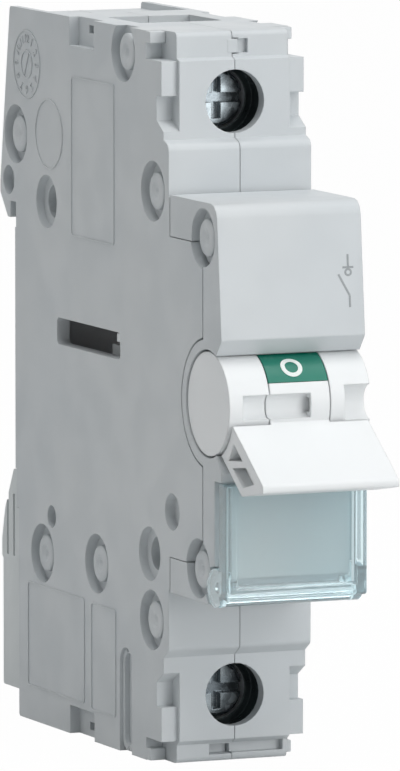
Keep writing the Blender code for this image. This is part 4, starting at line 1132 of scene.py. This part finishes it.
@dataclass
class Casework(Assembly):
    """The two shells, the nose cover and the rivets, with the marks moulded into their sides.

    Places on a side are depths from the rail and heights. The frames are (rear, front, low,
    high) and the head steps (inset, rise), all in millimetres.
    """

    side_face: float = 8.75 * MM
    mark_height: float = 0.1 * MM
    line_width: float = 0.18 * MM
    dial_place: Spot = (3.7 * MM, 34.1 * MM)
    dial_radius: float = 4.05 * MM
    dial_numbers: int = 12
    hub_share: float = 0.42
    number_share: float = 0.72
    pointer_share: float = 0.34
    pointer_angle: float = 1.1
    pad_place: Spot = (10.4 * MM, 26.5 * MM)
    pad_radius: float = 4.1 * MM
    frame_corner: float = 0.5 * MM
    frames: tuple[tuple[float, float, float, float], ...] = (
        (17.1, 29.8, 15.3, 33.75),
        (3.8, 20.9, -38.5, -26.2),
        (22.9, 30.2, -38.9, -26.4),
    )
    slot_depth: float = 0.9 * MM
    slot_step: float = 0.55 * MM
    slot_place: Spot = (33.05 * MM, -36.4 * MM)
    slot_size: Spot = (3.42 * MM, 12.0 * MM)
    slot_corner: float = 1.7 * MM
    slot_rim: float = 0.62 * MM
    rivet_floor: float = 7.45
    rivet_radius: float = 2.12
    rivet_rise: Span = (0.2, 0.8)
    rivet_round: float = 0.07 * MM
    head_steps: tuple[Span, ...] = (
        (0.34, 0.15),
        (0.72, 0.0),
        (0.42, -0.24),
        (0.2, -0.05),
        (0.05, -0.32),
    )
    well_radius: float = 4.7
    well_depth: float = 4.0
    well_front: float = -42.5
    seam_half: float = 0.1 * MM
    seam_closing: float = 0.065 * MM
    notch_sides: Span = (6.8, 9.5)
    notch_depths: Span = (-45.0, -42.0)
    notch_ends: Span = (30.6, -33.2)
    notch_slope: float = 1.8
    notch_lap: float = 0.05
    step_forms: tuple[Form, ...] = (
        Form((6.8, -40.1, 39.1), (8.74, -38.9, 40.46), 0.1, joined=True),
        Form((6.8, -40.1, -42.46), (8.74, -38.9, -41.1), 0.1, joined=True),
        Form((6.7, -22.9, 38.8), (9.5, -19.6, 39.7)),
        Form((6.7, -22.9, -41.7), (9.5, -19.6, -40.8)),
    )
    left_forms: tuple[Form, ...] = (
        Form((-2.7, -45.0, -41.7), (0.2, -41.5, -40.5)),
        Form((-0.6, -43.24, 38.0), (0.68, -41.9, 39.6), 0.12, joined=True),
    )
    right_forms: tuple[Form, ...] = (
        Form((-0.3, -45.0, -41.6), (6.3, -42.3, -40.4)),
        Form((-0.3, -45.0, 37.9), (0.78, -41.8, 39.7)),
    )
    flange_start: float = 9.0 * MM
    flange_side: float = 8.7 * MM
    flange_front: float = -46.1 * MM
    flange_end: float = -57.0 * MM
    flange_closing: float = 0.15 * MM

    def plane(self, way: int, sunk: float = 0.0) -> FacePlane:
        """Return the working plane of the side that faces a way along X, sunk by a depth."""
        return FacePlane(Vector((way * self.side_face - way * sunk, 0.0, 0.0)), Vector((0.0, way, 0.0)))

    def build(self) -> None:
        """Build every piece of the case."""
        self.mould("housing_left", Slot.HOUSING, self.shape_shell)
        self.mould("housing_right", Slot.HOUSING, self.shape_shell)
        self.mould("front_cover", Slot.HOUSING, self.shape_cover)
        rivets = [name for name in sorted(self.nodes) if name.startswith("rivet_")]
        for name in rivets:
            self.mould(name, Slot.RIVET)
        for side in Side:
            self.side_marks(side)
            self.rivet_heads(side, rivets)

    def shape_shell(self, shell: Piece) -> None:
        """Close the seam to a fine line and cut the fine forms of a shell's front.

        Args:
            shell: The welded copy of one shell.
        """
        near, far = self.notch_sides
        left = min(vertex.co.x for vertex in shell.data.vertices) < -near * MM
        way = -1.0 if left else 1.0
        self.bench.nudge(shell, 0, way * self.seam_half, -way * self.seam_closing)
        middle = self.well_front + self.well_depth / 2
        for level in SCREW_LEVELS:
            well = self.bench.rod(Axis.Y, (0.0, middle, level), self.well_radius, self.well_depth)
            self.bench.carve(shell, well)
        for end in self.notch_ends:
            self.bench.carve(shell, self.notch_wedge(end, *sorted((way * near, way * far))))
        self.bench.work(shell, self.step_forms, way)
        self.bench.work(shell, self.left_forms if left else self.right_forms)

    def notch_wedge(self, end: float, near: float, far: float) -> Piece:
        """Make the wedge that slopes one end of a tower's side notch.

        Args:
            end: Height of the notch's end.
            near: Its lower bound across the module.
            far: Its upper bound across the module.

        Returns:
            The wedge.
        """
        rise = -math.copysign(self.notch_slope, end)
        low, high = sorted((end + rise, end - math.copysign(self.notch_lap, rise)))
        front, rear = self.notch_depths
        wedge = self.bench.block((near, front, low), (far, rear, high))
        self.bench.nudge(wedge, 2, (end + rise) * MM, -rise * MM, behind=(rear - 0.1) * MM)
        return wedge

    def shape_cover(self, cover: Piece) -> None:
        """Close the fine line between the cover's side flanges and the shells.

        Args:
            cover: The welded copy of the nose cover.
        """
        for way in (1.0, -1.0):
            flange = min(
                abs(vertex.co.z)
                for vertex in cover.data.vertices
                if way * vertex.co.z > self.flange_start
                and abs(vertex.co.x) > self.flange_side
                and vertex.co.y > self.flange_front
            )
            self.bench.nudge(
                cover, 2, way * flange, -way * self.flange_closing, behind=self.flange_end
            )

    def rivet_heads(self, side: Side, rivets: list[str]) -> None:
        """Set the rounded, dimpled heads onto one side's rivet ends.

        Args:
            side: The side that they show on.
            rivets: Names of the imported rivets.
        """
        low, high = self.rivet_rise
        middle = (self.rivet_floor + (low + high) / 2, 0.0, 0.0)
        head = self.bench.rod(Axis.X, middle, self.rivet_radius, high - low)
        self.bench.take(head)
        self.bench.edit("FACE", "DESELECT")
        self.bench.leave()
        for face in head.data.polygons:
            face.select = face.normal.x > 0.9
        bpy.ops.object.mode_set(mode="EDIT")
        for inward, outward in self.head_steps:
            bpy.ops.mesh.inset(thickness=inward * MM, depth=outward * MM)
        self.bench.leave()
        self.bench.soften(head, self.rivet_round, angle_limit=0.4)
        heads = []
        for name in rivets:
            low_corner, high_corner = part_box(name)
            copy = head.copy()
            copy.data = head.data.copy()
            bpy.context.scene.collection.objects.link(copy)
            copy.location = (0.0, *((low_corner[i] + high_corner[i]) / 2 for i in (1, 2)))
            copy.rotation_euler = (0.0, 0.0, 0.0 if side is Side.RIGHT else math.pi)
            self.bench.take(copy)
            self.bench.bake_place()
            heads.append(copy)
        bpy.data.objects.remove(head)
        joined = self.bench.join(heads)
        self.bench.smooth(joined)
        self.bench.dress(joined, Slot.RIVET, "case", "rivet_heads_" + side.name.lower())

    def side_marks(self, side: Side) -> None:
        """Mould the date dial, the round pad, the plain fields and the slot's step of one side.

        Args:
            side: The side that carries them.
        """
        tag = side.name.lower()
        way = side.value
        marks = FlatMarks(self.bench, self.plane(way), self.mark_height)
        dial = self.bench.join(self.dial(marks, way))
        self.bench.dress(dial, Slot.HOUSING, "case", "date_dial_" + tag)
        pad = marks.ring((-way * self.pad_place[0], self.pad_place[1]), self.pad_radius, self.line_width)
        self.bench.dress(pad, Slot.HOUSING, "case", "round_pad_" + tag)
        for number, (rear, front, low, high) in enumerate(self.frames):
            piece = marks.frame(
                (-way * (rear + front) / 2 * MM, (low + high) / 2 * MM),
                ((front - rear) * MM, (high - low) * MM),
                self.frame_corner,
                self.line_width,
            )
            self.bench.dress(piece, Slot.HOUSING, "case", f"plain_field_{number}_{tag}")
        sunk = FlatMarks(self.bench, self.plane(way, self.slot_depth), self.slot_step)
        depth, level = self.slot_place
        step = sunk.frame((-way * depth, level), self.slot_size, self.slot_corner, self.slot_rim)
        self.bench.dress(step, Slot.HOUSING, "case", "slot_step_" + tag)

    def dial(self, marks: FlatMarks, way: int) -> list[Piece]:
        """Make the date dial: rim, hub, numbers and a pointer.

        Args:
            marks: The mark maker on the side's plane.
            way: Which way the side faces along X.

        Returns:
            The dial's marks.
        """
        centre = (-way * self.dial_place[0], self.dial_place[1])
        radius, line = self.dial_radius, self.line_width

        def spot(reach: float, angle: float) -> Spot:
            """Return the point of the dial at a reach from its centre and an angle."""
            return centre[0] + reach * math.cos(angle), centre[1] + reach * math.sin(angle)

        parts = [marks.ring(centre, radius, line), marks.ring(centre, radius * self.hub_share, line)]
        reach = radius * self.pointer_share
        for number in range(1, self.dial_numbers + 1):
            turn = math.radians(number * 360.0 / self.dial_numbers)
            place = spot(radius * self.number_share, math.pi / 2 - turn)
            parts.append(marks.figure(str(number), place, reach, -turn))
        tip, tail = (spot(far, self.pointer_angle) for far in (reach, -reach))
        parts.append(marks.bar(tail, tip, line))
        return parts


@dataclass
class ToggleWorks(Assembly):
    """The toggle with its colour fields, the cheeks beside it and the round OFF sign."""

    axis_y: float = -56.5 * MM
    radius: float = 5.85 * MM
    sign_gap: float = 0.01 * MM
    sign_height: float = 0.05 * MM
    ring_x: float = -0.35 * MM
    ring_angle: float = math.radians(45.5)
    ring_radius: float = 1.28 * MM
    ring_width: float = 0.5 * MM
    cheek_inner: float = 3.85 * MM
    cheek_closing: float = 0.12 * MM
    scoop_place: Place = (7.4, -62.35, 0.1)
    scoop_radius: float = 2.0
    scoop_length: float = 3.9

    def build(self) -> None:
        """Build the toggle's pieces."""
        self.mould("toggle", Slot.TOGGLE)
        self.mould("bearing_cheek_left", Slot.TOGGLE, self.fit_cheek)
        self.mould("bearing_cheek_right", Slot.TOGGLE, self.scoop_cheek)
        self.mould("off_indicator", Slot.OFF_FIELD)
        self.mould("on_indicator", Slot.ON_FIELD)
        self.off_ring()

    def fit_cheek(self, cheek: Piece) -> None:
        """Close the line between a cheek and the barrel.

        Args:
            cheek: The welded copy of a cheek.
        """
        places = (vertex.co.x for vertex in cheek.data.vertices)
        inner = min(places, key=lambda x: abs(abs(x) - self.cheek_inner))
        self.bench.nudge(cheek, 0, inner, -math.copysign(self.cheek_closing, inner))

    def scoop_cheek(self, cheek: Piece) -> None:
        """Open the cable tie's round scoop to the cheek's outer side.

        Args:
            cheek: The welded copy of the right cheek.
        """
        self.fit_cheek(cheek)
        scoop = self.bench.rod(Axis.X, self.scoop_place, self.scoop_radius, self.scoop_length)
        self.bench.carve(cheek, scoop)

    def off_ring(self) -> None:
        """Inlay the round OFF sign, wrapped round the barrel."""
        ring = self.bench.annulus(
            self.ring_radius,
            self.ring_width,
            location=(self.ring_x, self.axis_y - self.radius, self.radius * self.ring_angle),
            rotation=Axis.Y.value,
        )
        self.bench.edit()
        bpy.ops.mesh.subdivide(number_cuts=2)
        self.bench.leave()
        self.bench.bake_place()
        self.wrap(ring)
        self.bench.modify(ring, "SOLIDIFY", thickness=self.sign_height, offset=1.0)
        self.bench.smooth(ring)
        self.bench.dress(ring, Ink.WHITE, "toggle", "off_ring")

    def wrap(self, item: Piece) -> None:
        """Roll a flat sign round the toggle's axis, its height becoming arc length.

        Args:
            item: The sign.
        """
        reach = self.radius + self.sign_gap
        for vertex in item.data.vertices:
            angle = vertex.co.z / self.radius
            vertex.co.y = self.axis_y - reach * math.cos(angle)
            vertex.co.z = reach * math.sin(angle)


@dataclass
class NosePrint(Assembly):
    """The switch symbol printed on the nose, its strokes measured from its top end."""

    top_end: Place = (6.95 * MM, -61.5 * MM, 16.45 * MM)
    line: float = 0.24 * MM
    ink: float = 0.02 * MM
    ring_place: Spot = (0.0, -2.0 * MM)
    ring_radius: float = 0.46 * MM
    hinge: Spot = (0.1 * MM, -4.6 * MM)
    strokes: tuple[tuple[Spot, Spot], ...] = (
        ((0.0, 0.0), (0.0, -1.4 * MM)),
        ((-0.66 * MM, -1.45 * MM), (0.66 * MM, -1.45 * MM)),
        ((-1.2 * MM, -2.2 * MM), hinge),
        (hinge, (hinge[0], -5.9 * MM)),
    )

    def build(self) -> None:
        """Print the symbol's strokes onto the front of the nose cover."""
        plane = FacePlane(Vector(self.top_end), Vector((1.0, 0.0, 0.0)))
        marks = FlatMarks(self.bench, plane, 0.0)
        parts = [marks.bar(start, end, self.line) for start, end in self.strokes]
        parts.append(marks.ring(self.ring_place, self.ring_radius, self.line))
        symbol = self.bench.join(parts)
        self.bench.modify(
            symbol, "SHRINKWRAP", target=self.nodes["front_cover"], wrap_method="PROJECT",
            use_project_x=False, use_project_y=True, use_project_z=False,
            use_positive_direction=True, use_negative_direction=False, offset=0.0,
        )
        self.bench.modify(symbol, "SOLIDIFY", thickness=self.ink, offset=1.0)
        self.bench.dress(symbol, Ink.GREY, "case", "switch_symbol")


@dataclass
class Fittings(Assembly):
    """Terminal screws, label holder, rail clip, what shows of the inner works, and a dark sleeve in each
    screw well, painted shade that darkens the well.

    The sleeve steps are a rod and the bores in it (middle, radius, length) in millimetres.
    """

    clip_travel: float = 4.5 * MM
    sleeve_round: float = 0.06 * MM
    sleeve_steps: tuple[tuple[float, float, float], ...] = (
        (-40.55, 4.62, 3.8),
        (-41.0, 4.3, 4.2),
        (-39.0, 3.5, 4.0),
    )
    lug_forms: tuple[Form, ...] = (
        Form((7.0, -29.4, 0.5), (9.5, -27.6, 5.8)),
        Form((7.0, -30.3, 0.5), (9.5, -27.6, 3.9)),
        Form((7.0, -32.0, 0.5), (9.5, -27.6, 2.85)),
        Form((7.9, -30.6, 0.5), (9.5, -27.6, 4.3)),
    )
    flap_forms: tuple[Form, ...] = (
        Form((-8.6, -61.55, -21.7), (-7.1, -59.9, -8.75), 0.3, joined=True),
        Form((7.1, -61.55, -21.7), (8.6, -59.9, -8.75), 0.3, joined=True),
        Form((-7.9, -61.55, -21.7), (7.9, -59.85, -20.25), 0.3, joined=True),
    )

    def build(self) -> None:
        """Build the fittings."""
        self.mould("upper_terminal_screw", Slot.SCREW)
        self.mould("lower_terminal_screw", Slot.SCREW)
        self.mould("label_flap", Slot.CLEAR, self.frame_flap)
        self.mould("rail_clip", Slot.CLIP)
        self.squeeze_spring("rail_clip_spring")
        self.mould("contact_carrier", Slot.CLIP, self.notch_lugs)
        for name, level in zip(("upper_clamp_sleeve", "lower_clamp_sleeve"), SCREW_LEVELS):
            self.clamp_sleeve(name, level)

    def frame_flap(self, flap: Piece) -> None:
        """Give the clear flap its two thick side rails and its bottom bar."""
        self.bench.work(flap, self.flap_forms)

    def notch_lugs(self, carrier: Piece) -> None:
        """Notch the carrier's coupling lugs, which show in the side windows."""
        for way in (-1.0, 1.0):
            self.bench.work(carrier, self.lug_forms, way)

    def squeeze_spring(self, name: str) -> None:
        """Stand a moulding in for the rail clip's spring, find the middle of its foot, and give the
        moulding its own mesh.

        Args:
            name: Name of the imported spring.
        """
        low, high = (Vector(corner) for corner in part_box(name))
        piece = self.mould(name, Slot.SCREW)
        seat = (low + high) / 2.0
        seat.z = low.z
        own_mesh(piece)

    def clamp_sleeve(self, name: str, level: float) -> None:
        """Line a terminal's screw well with a dark steel sleeve, painted shade that darkens the well.

        Args:
            name: Name of the sleeve.
            level: Height of the screw in millimetres.
        """
        sleeve, *bores = [
            self.bench.rod(Axis.Y, (0.0, middle, level), radius, length)
            for middle, radius, length in self.sleeve_steps
        ]
        for bore in bores:
            self.bench.carve(sleeve, bore)
        self.bench.soften(sleeve, self.sleeve_round)
        self.bench.smooth(sleeve)
        # painted shade: the sleeve's dark finish darkens the well
        self.bench.dress(sleeve, Ink.DARK, "case", name)


@dataclass
class SoftBox:
    """One soft studio lamp."""

    name: str
    place: Place
    aim: Place
    size: Spot
    watts: float

    def build(self) -> None:
        """Hang the lamp and aim it."""
        data = bpy.data.lights.new(self.name, "AREA")
        data.shape = "RECTANGLE"
        data.size, data.size_y = self.size
        data.energy = self.watts
        lamp = bpy.data.objects.new(self.name, data)
        bpy.context.scene.collection.objects.link(lamp)
        lamp.location = self.place
        lamp.rotation_euler = (Vector(self.aim) - Vector(self.place)).to_track_quat("-Z", "Y").to_euler()


@dataclass
class Studio:
    """White ground, soft lamps and the camera at the photograph's view."""

    floor_level: float = -42.5 * MM
    floor_size: float = 6.0
    floor_colour: Colour = (0.74, 0.75, 0.75)
    floor_share: float = 0.985
    sky_colour: Colour = (0.96, 0.985, 1.0)
    ambient: float = 0.21
    white: Colour = (1.0, 1.0, 1.0)
    lamps: tuple[SoftBox, ...] = (
        SoftBox("key_front_right", (0.42, -0.72, 0.42), (0.0, -0.03, 0.0), (0.5, 0.5), 2.3),
        SoftBox("top_box", (0.02, -0.2, 0.75), (0.0, -0.03, 0.0), (0.6, 0.6), 3.8),
        SoftBox("left_rear", (-0.75, 0.3, 0.45), (0.0, -0.03, 0.01), (0.5, 0.5), 0.9),
        SoftBox("low_front", (0.25, -0.8, 0.06), (0.0, -0.05, -0.03), (0.5, 0.2), 1.3),
    )
    picture_height: float = 771.0
    focal_pixels: float = 10133.88
    sensor: float = 36.0
    azimuth: float = 0.406889
    elevation: float = 0.112166
    pivot: Place = (0.0, -30.0 * MM, -1.0 * MM)
    offset: Spot = (1.622 * MM, -0.0622 * MM)
    distance: float = 1157.69 * MM

    def build(self) -> None:
        """Build the world, floor, lamps and camera."""
        self.world()
        self.floor()
        for lamp in self.lamps:
            lamp.build()
        self.camera()
        bpy.context.scene.view_settings.view_transform = "Standard"

    @staticmethod
    def seen(bench: NodeBench) -> Socket:
        """Return a mask of the rays that show the ground: camera, glossy and transmission rays.

        Args:
            bench: The node bench of the ground.

        Returns:
            The mask's output.
        """
        rays = bench.node("ShaderNodeLightPath").outputs
        either = bench.calc("MAXIMUM", rays["Is Camera Ray"], rays["Is Glossy Ray"])
        return bench.calc("MAXIMUM", either, rays["Is Transmission Ray"])

    def world(self) -> None:
        """Light the scene softly from all round, and show white behind it."""
        world = bpy.data.worlds.new("studio")
        bpy.context.scene.world = world
        world.use_nodes = True
        bench = NodeBench(world.node_tree)
        soft, white = (
            bench.feed(bench.node("ShaderNodeBackground"), Color=rgba(colour), Strength=strength)
            for colour, strength in ((self.sky_colour, self.ambient), (self.white, 1.0))
        )
        mixed = bench.blend(self.seen(bench), soft.outputs["Background"], white.outputs["Background"])
        bench.feed(bench.node("ShaderNodeOutputWorld"), Surface=mixed)

    def floor(self) -> None:
        """Lay the pale floor that keeps the object's shadow."""
        Bench.clear()
        bpy.ops.mesh.primitive_plane_add(size=self.floor_size, location=(0.0, 0.0, self.floor_level))
        floor = bpy.context.object
        floor.name = "studio_floor"
        material = bpy.data.materials.new("studio_floor_white")
        material.use_nodes = True
        bench = NodeBench(material.node_tree)
        matt = bench.feed(bench.node("ShaderNodeBsdfDiffuse"), Color=rgba(self.floor_colour))
        glow = bench.feed(bench.node("ShaderNodeEmission"), Color=rgba(self.white), Strength=1.0)
        share = bench.calc("MULTIPLY", self.seen(bench), self.floor_share)
        mixed = bench.blend(share, matt.outputs["BSDF"], glow.outputs["Emission"])
        bench.feed(bench.node("ShaderNodeOutputMaterial"), Surface=mixed)
        floor.data.materials.append(material)

    def camera(self) -> None:
        """Set up the camera at the photograph's place and lens."""
        back = Vector((
            -math.sin(self.azimuth) * math.cos(self.elevation),
            -math.cos(self.azimuth) * math.cos(self.elevation),
            math.sin(self.elevation),
        ))
        right = Vector((math.cos(self.azimuth), -math.sin(self.azimuth), 0.0))
        up = back.cross(right)
        data = bpy.data.cameras.new("photo_camera")
        data.sensor_width = self.sensor
        data.lens = self.focal_pixels * self.sensor / self.picture_height
        camera = bpy.data.objects.new("photo_camera", data)
        bpy.context.scene.collection.objects.link(camera)
        place = Vector(self.pivot) + right * self.offset[0] + up * self.offset[1] + back * self.distance
        camera.matrix_world = Matrix((right, up, back)).transposed().to_4x4()
        camera.location = place
        bpy.context.scene.camera = camera


def dress_inner_nodes(frame: dict, shelf: FinishShelf) -> None:
    """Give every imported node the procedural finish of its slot.

    Args:
        shelf: The shelf of finishes.
    """
    slots = {row["node"]: Slot(row["material_slot"]) for row in frame["record"]["subparts"]}
    for name, node in frame["nodes"].items():
        for place in node.material_slots:
            place.material = shelf.get(slots[name])
        LOG.info("%s: finish %s", name, slots[name].value)


def main() -> None:
    """Build the dressed object and its studio."""
    logging.basicConfig(level=logging.INFO, format="%(message)s")
    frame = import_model()
    shelf = FinishShelf()
    dress_inner_nodes(frame, shelf)
    bench = Bench(shelf)
    for assembly in (Casework, ToggleWorks, NosePrint, Fittings):
        assembly(bench, frame["nodes"]).build()
    Studio().build()


if __name__ == "__main__":
    main()
